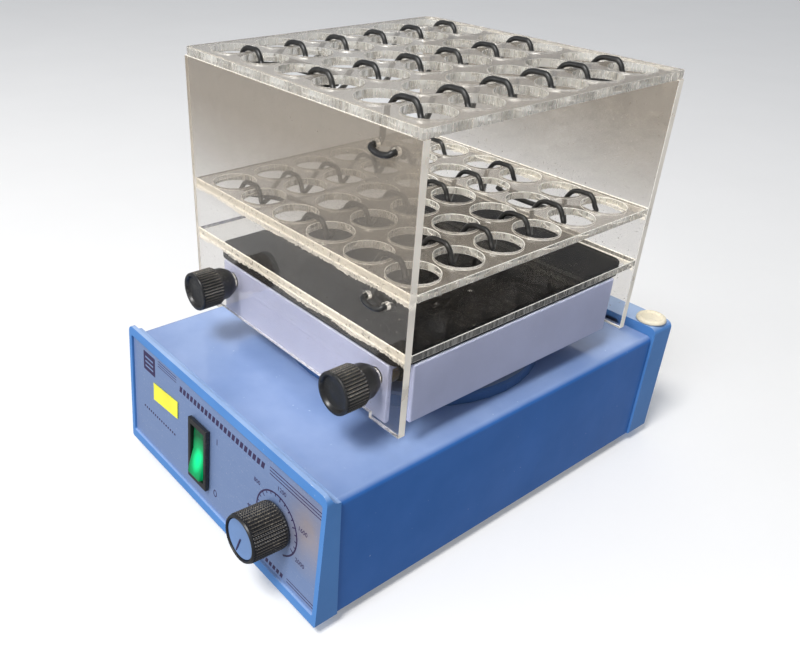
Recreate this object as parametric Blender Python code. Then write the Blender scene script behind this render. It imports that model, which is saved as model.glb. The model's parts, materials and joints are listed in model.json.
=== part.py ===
"""Vortex mixer: a low powered base whose platform orbits on a small crank, with a clear rack for
test tubes clamped on top. One object per separate piece. Dimensions are millimetres, turned into
metres when a mesh is made. x runs to the right seen from the front, y to the back, z up.
Lengths in y are counted from the front face of the bezel and heights from the housing's lower
edge; SHIFT moves both so that the origin is under the middle of the object, at the feet."""
import math

import bmesh
import bpy
from mathutils import Matrix, Vector

MM = 0.001
FOOT = 5.0
MIDDLE_Y = 103.52
SHIFT = (0.0, -MIDDLE_Y, FOOT)

# housing
WIDTH = 157.0
DEPTH = 221.5
BEZEL_H = 65.0
LEAN = 4.9
BEZEL_BACK = 6.5
BEZEL_LIP = 2.0
BEZEL_SLOPE_LOW = 60.8
COVER_X = 77.4
COVER_TOP = 60.0
COVER_BEND = 3.0
SHEET = 2.0
REAR_START = 206.8
REAR_TOP = 64.6
PANEL = (-76.0, 76.0, 4.8, 60.2)
PANEL_DEPTH = 1.8
WALL_BACK = 4.3
PLUG_X = 70.6
PLUG_Y = 214.2
PLUG_HOLE_R = 5.6

# controls
ROCKER_X = -11.2
ROCKER_Z = 29.6
ROCKER_TILT = 8.0
KNOB_X = 47.8
KNOB_Z = 31.5
KNOB_R = 10.5
KNOB_OUT = 17.0

# drive
AXIS = (3.75, 110.95)
CRANK = 2.0
IDLER_DY = 36.0
MOTOR_DY = 66.0
DRIVEN_R = 28.0
MOTOR_R = 9.0
BELT_Z = (38.4, 45.6)
COLLAR_R = 62.0
COLLAR_TOP = 66.5

# platform
PLAT_X = (-57.5, 69.0)
PLAT_Y = (41.5, 180.4)
PLAT_Z = (72.0, 99.0)
PLAT_T = 2.5
NOTCH = (5.5, 6.5)
MAT_TOP = 104.4
SCREWS_X = (-44.4, 56.6)
SCREW_Z = 91.2
SCREW_R = 9.0

# rack
RACK_X = 73.5
RACK_Y = (37.9, 184.0)
PLATE = 3.3
TOP_Z = 191.1
MIDDLE_Z = 132.7
BOTTOM_Z = 108.0
LEG_Z = 71.9
PITCH_X = 23.7
PITCH_Y = 22.9
HOLE_R = 9.75
GAP = 0.3
CORD_R = 1.1
CORD_ANCHOR_X = (50.6, 61.0)

scene = bpy.context.scene
for old in list(bpy.data.objects):
    bpy.data.objects.remove(old)
parts = bpy.data.collections.new("vortex_mixer")
scene.collection.children.link(parts)
cutters = bpy.data.collections.new("cutters")
scene.collection.children.link(cutters)


def world(point):
    """A point given in the part's own lengths, as metres in the scene."""
    return Vector([(point[i] + SHIFT[i]) * MM for i in range(3)])


def lean(z):
    """How far the front face stands back from y=0 at this height."""
    return -LEAN * (1.0 - z / BEZEL_H)


def material(name, colour, metallic=0.0, roughness=0.5):
    made = bpy.data.materials.new(name)
    made.use_nodes = True
    shader = made.node_tree.nodes["Principled BSDF"]
    shader.inputs["Base Color"].default_value = (*colour, 1.0)
    shader.inputs["Metallic"].default_value = metallic
    shader.inputs["Roughness"].default_value = roughness
    made.diffuse_color = (*colour, 1.0)
    return made


def rounded(x0, x1, z0, z1, radii, steps=4):
    """A rectangle's outline, anticlockwise from lower left. radii: lower left, lower right,
    upper right, upper left."""
    corners = [
        (x0, z0, 1, 1, 180.0),
        (x1, z0, -1, 1, 270.0),
        (x1, z1, -1, -1, 0.0),
        (x0, z1, 1, -1, 90.0),
    ]
    outline = []
    for (cx, cz, sx, sz, start), r in zip(corners, radii):
        if r <= 0:
            outline.append((cx, cz))
            continue
        for i in range(steps + 1):
            a = math.radians(start + 90.0 * i / steps)
            outline.append((cx + sx * r + r * math.cos(a), cz + sz * r + r * math.sin(a)))
    return outline


def ring(cx, cy, r, segments, phase=0.0):
    return [
        (
            cx + r * math.cos(phase + 2 * math.pi * i / segments),
            cy + r * math.sin(phase + 2 * math.pi * i / segments),
        )
        for i in range(segments)
    ]


def add_prism(bm, low, high):
    """Joins two loops of as many points into a closed solid."""
    lower = [bm.verts.new(p) for p in low]
    upper = [bm.verts.new(p) for p in high]
    count = len(lower)
    bm.faces.new(lower[::-1])
    bm.faces.new(upper)
    for i in range(count):
        j = (i + 1) % count
        bm.faces.new([lower[i], lower[j], upper[j], upper[i]])


def finish(name, bm, look=None, pivot=None, cutter=False, turn=None):
    """Turns a bmesh in the part's own lengths into an object whose origin is the pivot."""
    bmesh.ops.recalc_face_normals(bm, faces=bm.faces)
    if turn is not None:
        bmesh.ops.transform(bm, matrix=turn, verts=bm.verts)
    origin = world(pivot) if pivot is not None else Vector((0.0, 0.0, 0.0))
    for vert in bm.verts:
        vert.co = world(vert.co) - origin
    mesh = bpy.data.meshes.new(name)
    bm.to_mesh(mesh)
    bm.free()
    obj = bpy.data.objects.new(name, mesh)
    obj.location = origin
    if look is not None:
        mesh.materials.append(look)
    if cutter:
        obj.hide_render = True
        obj.display_type = "WIRE"
        cutters.objects.link(obj)
    else:
        parts.objects.link(obj)
    return obj


def cut(target, *tools):
    for tool in tools:
        step = target.modifiers.new("cut_" + tool.name, "BOOLEAN")
        step.operation = "DIFFERENCE"
        step.solver = "EXACT"
        step.object = tool
    return target


def box_bm(low, high):
    bm = bmesh.new()
    outline = [(low[0], low[1]), (high[0], low[1]), (high[0], high[1]), (low[0], high[1])]
    add_prism(bm, [(x, y, low[2]) for x, y in outline], [(x, y, high[2]) for x, y in outline])
    return bm


def box(name, low, high, look=None, **options):
    return finish(name, box_bm(low, high), look, **options)


def boxes(name, spans, look=None, **options):
    """Separate boxes in one mesh, for cutters."""
    bm = bmesh.new()
    for low, high in spans:
        outline = [(low[0], low[1]), (high[0], low[1]), (high[0], high[1]), (low[0], high[1])]
        add_prism(bm, [(x, y, low[2]) for x, y in outline], [(x, y, high[2]) for x, y in outline])
    return finish(name, bm, look, **options)


def plan(name, outline, z0, z1, look=None, **options):
    """An outline in x and y, extruded up."""
    bm = bmesh.new()
    add_prism(bm, [(x, y, z0) for x, y in outline], [(x, y, z1) for x, y in outline])
    return finish(name, bm, look, **options)


def front(name, outline, near, far, look=None, **options):
    """An outline in x and z, from y=near(z) to y=far(z)."""
    bm = bmesh.new()
    add_prism(bm, [(x, near(z), z) for x, z in outline], [(x, far(z), z) for x, z in outline])
    return finish(name, bm, look, **options)


def posts(name, places, r, z0, z1, segments=16, **options):
    """Upright cylinders in one mesh, for cutters."""
    bm = bmesh.new()
    for cx, cy in places:
        outline = ring(cx, cy, r, segments)
        add_prism(bm, [(x, y, z0) for x, y in outline], [(x, y, z1) for x, y in outline])
    return finish(name, bm, **options)


def turned_bm(profile, segments):
    """A solid of revolution about z. profile: (r, z) from the top of the axis, down the outer
    side, to the bottom of the axis, with r 0 at both ends; or a closed loop clear of the axis."""
    bm = bmesh.new()
    rings = []
    for r, z in profile:
        if r == 0:
            rings.append([bm.verts.new((0.0, 0.0, z))])
        else:
            rings.append([bm.verts.new((x, y, z)) for x, y in ring(0.0, 0.0, r, segments)])
    pairs = list(zip(rings, rings[1:]))
    if profile[0][0] != 0:
        pairs.append((rings[-1], rings[0]))
    for one, two in pairs:
        for i in range(segments):
            j = (i + 1) % segments
            if len(one) == 1:
                bm.faces.new([one[0], two[i], two[j]])
            elif len(two) == 1:
                bm.faces.new([one[i], two[0], one[j]])
            else:
                bm.faces.new([one[i], two[i], two[j], one[j]])
    return bm


def turned(name, profile, at, look, segments=24, axis=None, pivot=None, **options):
    """A turned piece: its own z goes along axis, and its own origin to the point at."""
    bm = turned_bm(profile, segments)
    frame = Matrix.Translation(Vector(at))
    if axis is not None:
        frame = frame @ Vector((0.0, 0.0, 1.0)).rotation_difference(Vector(axis)).to_matrix().to_4x4()
    return finish(name, bm, look, pivot=pivot if pivot is not None else at, turn=frame, **options)


blue = material("painted_blue", (0.20, 0.42, 0.78), 0.0, 0.3)
bezel_blue = material("bezel_blue", (0.18, 0.38, 0.74), 0.0, 0.35)
foil = material("panel_foil", (0.45, 0.50, 0.68), 0.3, 0.45)
yellow = material("label_yellow", (0.92, 0.86, 0.05), 0.0, 0.5)
black = material("black_plastic", (0.02, 0.02, 0.022), 0.0, 0.4)
lit = material("lit_green", (0.02, 0.65, 0.2), 0.0, 0.3)
cap_look = material("cap_silver_blue", (0.45, 0.55, 0.80), 0.4, 0.4)
steel = material("steel", (0.6, 0.6, 0.62), 1.0, 0.35)
grey_metal = material("zinc_sheet", (0.55, 0.56, 0.58), 0.9, 0.4)
cast = material("cast_aluminium", (0.55, 0.56, 0.58), 0.8, 0.5)
tray_look = material("platform_grey", (0.42, 0.44, 0.58), 0.1, 0.45)
rubber = material("black_rubber", (0.03, 0.03, 0.03), 0.0, 0.7)
cord_look = material("cord_rubber", (0.015, 0.015, 0.016), 0.0, 0.35)
clear = material("acrylic", (0.88, 0.88, 0.86), 0.0, 0.08)
ivory = material("ivory_plastic", (0.80, 0.76, 0.64), 0.0, 0.45)
board_look = material("circuit_board", (0.05, 0.25, 0.1), 0.0, 0.5)
tape = material("coil_tape", (0.75, 0.55, 0.12), 0.0, 0.5)
iron = material("iron_core", (0.3, 0.3, 0.32), 0.7, 0.5)
brass = material("brass", (0.75, 0.6, 0.3), 1.0, 0.35)

# ---------------------------------------------------------------- housing
feet_at = [(-60.0, 24.0), (60.0, 24.0), (-60.0, 198.0), (60.0, 198.0)]
base = box("base_plate", (-74.6, BEZEL_BACK + 0.6, 0.6), (74.6, REAR_START - 0.6, 2.6), grey_metal)
cut(base, posts("base_holes", feet_at, 2.2, -3.0, 6.0, 12, cutter=True))
vents = [((x - 1.5, 60.0, -3.0), (x + 1.5, 82.0, 6.0)) for x in (-48.0, -40.0, 44.0, 52.0)]
cut(base, boxes("base_vents", vents, cutter=True))
foot_names = ("foot_front_left", "foot_front_right", "foot_rear_left", "foot_rear_right")
for foot_name, (fx, fy) in zip(foot_names, feet_at):
    stem = [(0.0, 4.5), (1.9, 4.5), (1.9, 0.3), (8.0, 0.3)]
    shape = stem + [(8.6, -FOOT + 0.8), (7.8, -FOOT), (0.0, -FOOT)]
    turned(foot_name, shape, (fx, fy, 0.0), rubber, 16)

shell = rounded(-COVER_X, COVER_X, 0.3, COVER_TOP, (0, 0, COVER_BEND, COVER_BEND))
cover = front("housing_cover", shell, lambda z: BEZEL_BACK + GAP, lambda z: REAR_START - GAP, blue)
hollow = rounded(
    -COVER_X + SHEET, COVER_X - SHEET, -5.0, COVER_TOP - SHEET, (0, 0, COVER_BEND - 1.0, COVER_BEND - 1.0), 2
)
cut(cover, front("cover_hollow", hollow, lambda z: -5.0, lambda z: 240.0, cutter=True))
cut(cover, posts("cover_opening", [AXIS], 52.0, 50.0, 70.0, 32, cutter=True))

bezel_outline = rounded(-WIDTH / 2, WIDTH / 2, 0.0, BEZEL_H, (1.2, 1.2, 3.6, 3.6))
bezel = front("front_bezel", bezel_outline, lean, lambda z: BEZEL_BACK, bezel_blue)
recess = rounded(PANEL[0], PANEL[1], PANEL[2], PANEL[3], (0.8, 0.8, 0.8, 0.8), 2)
cut(bezel, front("bezel_recess", recess, lambda z: -20.0, lambda z: lean(z) + PANEL_DEPTH, cutter=True))
behind = rounded(-WIDTH / 2 + 2.6, WIDTH / 2 - 2.6, 2.4, BEZEL_SLOPE_LOW - 2.6, (1, 1, 2, 2), 2)
cut(bezel, front("bezel_hollow", behind, lambda z: lean(z) + WALL_BACK, lambda z: 20.0, cutter=True))
# the rim slopes down from its thin lip to the cover behind it
slope = [(BEZEL_LIP, BEZEL_H + 0.2), (3.6, 62.4), (BEZEL_BACK + 0.5, BEZEL_SLOPE_LOW - 0.2), (20.0, 90.0)]
slope_bm = bmesh.new()
add_prism(slope_bm, [(-90.0, y, z) for y, z in slope], [(90.0, y, z) for y, z in slope])
cut(bezel, finish("bezel_slope", slope_bm, cutter=True))
switch_slot = rounded(ROCKER_X - 6.8, ROCKER_X + 6.8, ROCKER_Z - 14.4, ROCKER_Z + 14.4, (0, 0, 0, 0))
switch_cut = front("switch_slot", switch_slot, lambda z: -20.0, lambda z: 20.0, cutter=True)
shaft_cut = front("shaft_hole", ring(KNOB_X, KNOB_Z, 3.6, 16), lambda z: -20.0, lambda z: 20.0, cutter=True)
cut(bezel, switch_cut, shaft_cut)

rear_outline = rounded(-WIDTH / 2, WIDTH / 2, 0.0, REAR_TOP, (1.2, 1.2, 3.6, 3.6))
rear = front("rear_frame", rear_outline, lambda z: REAR_START, lambda z: DEPTH, bezel_blue)
inside_rear = rounded(-58.0, 58.0, 3.0, REAR_TOP - 3.0, (1, 1, 1, 1), 2)
cut(rear, front("rear_hollow", inside_rear, lambda z: 190.0, lambda z: DEPTH - 3.0, cutter=True))
plug_places = [(-PLUG_X, PLUG_Y), (PLUG_X, PLUG_Y)]
cut(rear, posts("rod_sockets", plug_places, PLUG_HOLE_R + GAP, 22.0, 80.0, 16, cutter=True))
inlet_slot = boxes("inlet_slot", [((-40.0, 200.0, 22.0), (-12.4, 240.0, 42.6))], cutter=True)
fuse_slot = front("fuse_slot", ring(14.0, 32.0, 6.3, 16), lambda z: 200.0, lambda z: 240.0, cutter=True)
cut(rear, inlet_slot, fuse_slot)
plug_shape = [(0.0, 2.2), (5.0, 2.2), (6.9, 1.6), (7.3, 0.3)]
plug_shape += [(PLUG_HOLE_R, 0.3), (PLUG_HOLE_R, -9.0), (0.0, -9.0)]
for plug_name, (px, py) in zip(("rod_plug_left", "rod_plug_right"), plug_places):
    turned(plug_name, plug_shape, (px, py, REAR_TOP), ivory, 24)
inlet = box("mains_inlet", (-39.7, 205.0, 22.3), (-12.7, DEPTH + 1.0, 42.3), black)
flange = boxes("inlet_flange_trim", [((-36.6, DEPTH - 12.0, 25.0), (-15.8, 240.0, 39.6))], cutter=True)
cut(inlet, flange)
fuse_shape = [(0.0, 5.7), (4.6, 5.7), (5.2, 5.0), (6.0, 1.0), (7.6, 1.0)]
fuse_shape += [(7.6, 0.3), (6.0, 0.3), (6.0, -14.0), (0.0, -14.0)]
turned("fuse_holder", fuse_shape, (14.0, DEPTH, 32.0), black, 20, axis=(0.0, 1.0, 0.0))
for screw_name, sx in (("rear_screw_left", -64.0), ("rear_screw_right", 64.0)):
    head = [(0.0, 1.9), (2.0, 1.9), (2.9, 0.9), (2.9, 0.3), (0.0, 0.3)]
    turned(screw_name, head, (sx, DEPTH, 10.0), steel, 12, axis=(0.0, 1.0, 0.0))

# ---------------------------------------------------------------- front panel
sheet = rounded(PANEL[0] + GAP, PANEL[1] - GAP, PANEL[2] + GAP, PANEL[3] - GAP, (0.6, 0.6, 0.6, 0.6), 2)
panel = front("panel_foil", sheet, lambda z: lean(z) + 1.0, lambda z: lean(z) + 1.5, foil)
cut(panel, switch_cut, shaft_cut)
tag = [(-55.2, 34.2), (-31.8, 35.8), (-31.8, 45.8), (-55.2, 44.0)]
front("panel_label", tag, lambda z: lean(z) + 0.4, lambda z: lean(z) + 0.8, yellow)

tilt = math.atan2(LEAN, BEZEL_H)
OUT = Vector((0.0, -math.cos(tilt), math.sin(tilt)))


def panel_frame(x, z):
    """Local frame on the front face: y into the housing, z up the face."""
    return Matrix.Translation(Vector((x, lean(z), z))) @ Matrix.Rotation(-tilt, 4, "X")


rocker_frame = panel_frame(ROCKER_X, ROCKER_Z)
body_bm = box_bm((-7.8, -1.4, -16.4), (7.8, 0.7, 16.4))
body = finish("switch_housing", body_bm, black, turn=rocker_frame)
lower_bm = box_bm((-6.4, 0.2, -14.0), (6.4, 22.0, 14.0))
lower = finish("switch_lower", lower_bm, cutter=True, turn=rocker_frame)
join = body.modifiers.new("lower", "BOOLEAN")
join.operation = "UNION"
join.solver = "EXACT"
join.object = lower
well_bm = box_bm((-5.6, -6.0, -13.4), (5.6, 9.5, 13.4))
cut(body, finish("switch_well", well_bm, cutter=True, turn=rocker_frame))

# the rocker's side outline (y, z) with its two flats, pressed in at the top
key_pivot = rocker_frame @ Vector((0.0, 3.4, 0.0))
side = [(-4.9, 12.6), (-3.6, 0.0), (-4.9, -12.6), (1.5, -12.0), (4.2, -5.0), (4.2, 5.0), (1.5, 12.0)]
key_bm = bmesh.new()
add_prism(key_bm, [(-5.1, y, z) for y, z in side], [(5.1, y, z) for y, z in side])
press = Matrix.Rotation(math.radians(-ROCKER_TILT), 4, "X")
key_turn = Matrix.Translation(key_pivot) @ Matrix.Rotation(-tilt, 4, "X") @ press
finish("rocker", key_bm, lit, pivot=key_pivot, turn=key_turn)

knob_at = Vector((KNOB_X, lean(KNOB_Z), KNOB_Z))
knob_shape = [
    (0.0, KNOB_OUT - 1.6),
    (8.9, KNOB_OUT - 1.6),
    (8.9, KNOB_OUT - 0.2),
    (9.6, KNOB_OUT),
    (10.1, KNOB_OUT - 0.5),
    (KNOB_R, 1.2),
    (KNOB_R, -0.4),
    (3.2, -0.4),
    (3.2, 11.6),
    (0.0, 11.6),
]
turned("speed_knob", knob_shape, knob_at, black, 32, axis=OUT)
cap_shape = [(0.0, KNOB_OUT - 0.5), (8.0, KNOB_OUT - 0.5), (8.6, KNOB_OUT - 0.7)]
cap_shape += [(8.6, KNOB_OUT - 1.3), (0.0, KNOB_OUT - 1.3)]
turned("knob_cap", cap_shape, knob_at, cap_look, 32, axis=OUT)
pin_shape = [(0.0, 11.2), (2.6, 11.2), (2.9, 10.8), (2.9, -6.4), (0.0, -6.4)]
turned("pot_shaft", pin_shape, knob_at, brass, 16, axis=OUT)
pot_shape = [(0.0, -6.8), (3.3, -6.8), (3.3, -4.9), (8.0, -4.9), (8.0, -15.0), (0.0, -15.0)]
turned("pot_body", pot_shape, knob_at, iron, 20, axis=OUT)

# ---------------------------------------------------------------- inside
board = box("control_board", (-70.0, 22.0, 8.0), (-68.4, 92.0, 50.0), board_look)
cut(board, boxes("board_notch", [((-80.0, 70.0, 40.0), (-60.0, 100.0, 60.0))], cutter=True))
core = box("transformer_core", (-66.0, 130.0, 3.2), (-36.0, 168.0, 40.0), iron)
windows = [((-70.0, 136.0, 9.0), (-30.0, 143.0, 34.0)), ((-70.0, 155.0, 9.0), (-30.0, 162.0, 34.0))]
cut(core, boxes("core_windows", windows, cutter=True))
coil = box("transformer_coil", (-72.0, 136.3, 9.3), (-30.0, 161.7, 33.7), tape)
cut(coil, boxes("coil_hole", [((-66.3, 142.7, 0.0), (-35.7, 155.3, 50.0))], cutter=True))
ax, ay = AXIS
turned(
    "bearing_housing",
    [(13.1, 36.4), (19.0, 36.4), (19.0, 9.0), (29.0, 8.0), (29.0, 3.0), (13.1, 3.0)],
    (ax, ay, 0.0),
    cast,
    24,
)
bearing = [(5.3, 0.0), (5.3, 7.0), (12.8, 7.0), (12.8, 0.0)][::-1]
turned("lower_bearing", bearing, (ax, ay, 6.0), steel, 24)
turned("upper_bearing", bearing, (ax, ay, 28.6), steel, 24)
pulley_top, pulley_low = BELT_Z[1] + 0.8, BELT_Z[0] - 0.8
driven = [
    (5.3, pulley_top),
    (DRIVEN_R + 1.6, pulley_top),
    (DRIVEN_R + 1.6, BELT_Z[1] + 0.2),
    (DRIVEN_R - 0.5, BELT_Z[1] + 0.2),
    (DRIVEN_R - 0.5, BELT_Z[0] - 0.2),
    (DRIVEN_R + 1.6, BELT_Z[0] - 0.2),
    (DRIVEN_R + 1.6, pulley_low),
    (5.3, pulley_low),
]
turned("driven_pulley", driven, (ax, ay, 0.0), black, 32)


def shaft_and_pin(name, at, shaft_r, shaft_z, disc_r, disc_z, pin_r, pin_z, look, segments=16):
    """One crank: a shaft on the axis, a disc, and a pin set off to +x by the throw."""
    cx, cy = at
    low, high = disc_z
    profile = [(0.0, high), (disc_r, high), (disc_r, low)]
    profile += [(shaft_r, low), (shaft_r, shaft_z), (0.0, shaft_z)]
    bm = turned_bm(profile, segments)
    made = finish(name, bm, look, pivot=(cx, cy, 0.0), turn=Matrix.Translation((cx, cy, 0.0)))
    pin = posts(name + "_pin", [(cx + CRANK, cy)], pin_r, disc_z[1] - 1.5, pin_z, 16, cutter=True)
    step = made.modifiers.new("pin", "BOOLEAN")
    step.operation = "UNION"
    step.solver = "EXACT"
    step.object = pin
    return made


shaft_and_pin("drive_crank", AXIS, 5.0, 5.0, 12.0, (46.8, 54.0), 5.0, 68.0, steel, 24)
outer_turns = [math.radians(-80.0 + 160.0 * i / 12) for i in range(13)]
inner_turns = [math.radians(70.0 - 140.0 * i / 8) for i in range(9)]
weight = [(ax - 27.0 * math.cos(a), ay - 27.0 * math.sin(a)) for a in outer_turns]
weight += [(ax - 12.4 * math.cos(a), ay - 12.4 * math.sin(a)) for a in inner_turns]
plan("counterweight", weight, 47.2, 53.4, brass, pivot=(ax, ay, 0.0))
for post_name, crank_name, dy in (
    ("idler_post_front", "idler_crank_front", -IDLER_DY),
    ("idler_post_rear", "idler_crank_rear", IDLER_DY),
):
    turned(
        post_name,
        [(3.4, 37.0), (6.0, 37.0), (6.0, 3.0), (3.4, 3.0)],
        (ax, ay + dy, 0.0),
        cast,
        16,
    )
    shaft_and_pin(crank_name, (ax, ay + dy), 3.0, 5.0, 7.0, (48.0, 52.0), 3.0, 84.0, steel, 16)

mx, my = ax, ay + MOTOR_DY
can = [(3.4, 36.0), (6.0, 36.0), (6.0, 34.0), (21.0, 34.0), (22.0, 33.0), (22.0, 5.0), (3.4, 5.0)]
turned("motor", can, (mx, my, 0.0), iron, 24)
box("motor_bracket", (mx - 26.0, my - 16.0, 3.0), (mx + 26.0, my + 20.0, 4.7), grey_metal)
rotor = [
    (0.0, pulley_top + 3.0),
    (3.0, pulley_top + 3.0),
    (3.0, pulley_top),
    (MOTOR_R + 1.6, pulley_top),
    (MOTOR_R + 1.6, BELT_Z[1] + 0.2),
    (MOTOR_R - 0.5, BELT_Z[1] + 0.2),
    (MOTOR_R - 0.5, BELT_Z[0] - 0.2),
    (MOTOR_R + 1.6, BELT_Z[0] - 0.2),
    (MOTOR_R + 1.6, pulley_low),
    (3.0, pulley_low),
    (3.0, 5.4),
    (0.0, 5.4),
]
turned("motor_rotor", rotor, (mx, my, 0.0), steel, 24)


def belt_loop(spread):
    """The belt's outline round both pulleys, moved outward by spread."""
    big, small = DRIVEN_R + spread, MOTOR_R + spread
    lean_angle = math.acos((DRIVEN_R - MOTOR_R) / MOTOR_DY)
    points = []
    for i in range(13):
        a = math.pi / 2 + lean_angle + (2 * math.pi - 2 * lean_angle) * i / 12
        points.append((ax + big * math.cos(a), ay + big * math.sin(a)))
    for i in range(7):
        a = math.pi / 2 - lean_angle + 2 * lean_angle * i / 6
        points.append((mx + small * math.cos(a), my + small * math.sin(a)))
    return points


belt = plan("drive_belt", belt_loop(1.4), BELT_Z[0] + 0.8, BELT_Z[1] - 0.8, rubber)
cut(belt, plan("belt_inside", belt_loop(0.25), 20.0, 70.0, cutter=True))

collar_shape = [(51.0, 66.1), (52.0, COLLAR_TOP), (60.0, COLLAR_TOP), (61.4, 65.8)]
collar_shape += [(COLLAR_R, 64.4), (COLLAR_R, COVER_TOP + GAP), (51.0, COVER_TOP + GAP)]
turned("drive_collar", collar_shape, (ax, ay, 0.0), blue, 40)

# ---------------------------------------------------------------- platform
hx, hy = ax + CRANK, ay
hub_shape = [(0.0, 96.2), (44.0, 96.2), (44.0, 91.5), (19.0, 86.0), (16.0, 80.0)]
hub_shape += [(16.0, 60.4), (11.3, 60.4), (11.3, 68.6), (0.0, 68.6)]
hub = turned("platform_hub", hub_shape, (hx, hy, 0.0), cast, 24)
pin_holes = [(hx, hy - IDLER_DY), (hx, hy + IDLER_DY)]
for side_name, (sx, sy) in zip(("idler_bush_front", "idler_bush_rear"), pin_holes):
    turned(side_name, [(3.3, 90.2), (7.0, 90.2), (7.0, 72.0), (3.3, 72.0)], (sx, sy, 0.0), brass, 16)
hub_arms = boxes("hub_arms", [((hx - 9.5, hy - 47.0, 76.0), (hx + 9.5, hy + 47.0, 93.0))], cutter=True)
arms = hub.modifiers.new("arms", "BOOLEAN")
arms.operation = "UNION"
arms.solver = "EXACT"
arms.object = hub_arms
cut(hub, posts("hub_bush_holes", pin_holes, 7.3, 60.0, 90.5, 16, cutter=True))
turned("pin_bearing", [(5.3, 67.8), (11.0, 67.8), (11.0, 61.0), (5.3, 61.0)], (hx, hy, 0.0), steel, 24)

tray = box("platform", (PLAT_X[0], PLAT_Y[0], PLAT_Z[0]), (PLAT_X[1], PLAT_Y[1], PLAT_Z[1]), tray_look)
room_low = (PLAT_X[0] + PLAT_T, PLAT_Y[0] + PLAT_T, 60.0)
room = (room_low, (PLAT_X[1] - PLAT_T, PLAT_Y[1] - PLAT_T, PLAT_Z[1] - PLAT_T))
notches = []
for edge_x in PLAT_X:
    for edge_y in PLAT_Y:
        near_end = (edge_x - NOTCH[0], edge_y - NOTCH[1], 60.0)
        notches.append((near_end, (edge_x + NOTCH[0], edge_y + NOTCH[1], 120.0)))
cut(tray, boxes("tray_room", [room], cutter=True), boxes("tray_notches", notches, cutter=True))
stud_cut = bmesh.new()
for sx in SCREWS_X:
    outline = ring(sx, SCREW_Z, 3.5, 16)
    add_prism(stud_cut, [(x, 30.0, z) for x, z in outline], [(x, 47.0, z) for x, z in outline])
stud_holes = finish("stud_holes", stud_cut, cutter=True)
cut(tray, stud_holes)
mat_outline = rounded(PLAT_X[0] + 0.5, PLAT_X[1] - 0.5, PLAT_Y[0] + 0.2, PLAT_Y[1] - 0.2, (6, 6, 6, 6), 3)
plan("platform_mat", mat_outline, PLAT_Z[1] + GAP, MAT_TOP, rubber)

# ---------------------------------------------------------------- rack
rows = [(RACK_Y[0] + RACK_Y[1]) / 2 + (i - 2.5) * PITCH_Y for i in range(6)]
columns = [(2.5 - i) * PITCH_X for i in range(6)]
tube_places = [(cx, cy) for cx in columns for cy in rows]
top_outline = rounded(-RACK_X, RACK_X, RACK_Y[0], RACK_Y[1], (3, 1, 2, 5), 3)
top = plan("rack_top_plate", top_outline, TOP_Z - PLATE, TOP_Z, clear)
inner_y = (RACK_Y[0] + PLATE + GAP, RACK_Y[1] - PLATE - GAP)
near_end = (-RACK_X, inner_y[0], MIDDLE_Z - PLATE)
middle = box("rack_middle_plate", near_end, (RACK_X, inner_y[1], MIDDLE_Z), clear)
tube_holes = posts("tube_holes", tube_places, HOLE_R, 120.0, 200.0, 16, cutter=True)
cut(top, tube_holes)
cut(middle, tube_holes)
box("rack_bottom_plate", (-RACK_X, inner_y[0], BOTTOM_Z - PLATE), (RACK_X, inner_y[1], BOTTOM_Z), clear)
under_top = TOP_Z - PLATE - GAP
anchor_cut = bmesh.new()
for cx in CORD_ANCHOR_X:
    for cz in (TOP_Z - 10.6, MIDDLE_Z - 8.8):
        outline = ring(cx, cz, 1.6, 10)
        add_prism(anchor_cut, [(x, 30.0, z) for x, z in outline], [(x, 47.0, z) for x, z in outline])
anchor_holes = finish("anchor_holes", anchor_cut, cutter=True)
far_end = (RACK_X, RACK_Y[0] + PLATE, under_top)
front_plate = box("rack_front_plate", (-RACK_X, RACK_Y[0], LEG_Z), far_end, clear)
step_cut = boxes("front_step", [((-56.5, 30.0, 60.0), (56.2, 50.0, 74.3))], cutter=True)
cut(front_plate, step_cut, stud_holes, anchor_holes)
box("rack_back_plate", (-RACK_X, RACK_Y[1] - PLATE, LEG_Z), (RACK_X, RACK_Y[1], under_top), clear)

for word, sx in (("left", SCREWS_X[0]), ("right", SCREWS_X[1])):
    head = [
        (0.0, 17.6),
        (7.0, 17.6),
        (7.6, 19.4),
        (8.4, 19.4),
        (SCREW_R, 18.8),
        (SCREW_R, 8.4),
        (8.6, 8.0),
        (7.7, 7.8),
        (7.4, 4.0),
        (5.4, 0.3),
        (3.0, 0.3),
        (3.0, -12.0),
        (2.4, -12.6),
        (0.0, -12.6),
    ]
    turned("thumbscrew_" + word, head, (sx, RACK_Y[0], SCREW_Z), black, 24, axis=(0.0, -1.0, 0.0))
    nut = [(3.3, -6.6), (3.3, -11.6), (4.9, -11.6), (4.9, -6.6)]
    turned("clamp_nut_" + word, nut, (sx, RACK_Y[0], SCREW_Z), brass, 16, axis=(0.0, -1.0, 0.0))

# ---------------------------------------------------------------- lacing cords
HALF_SPAN = 7.2
RISE = 0.3
ARCH_Y = 2.0
webs = [2.0 * PITCH_X, 0.0, -2.0 * PITCH_X]


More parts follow.
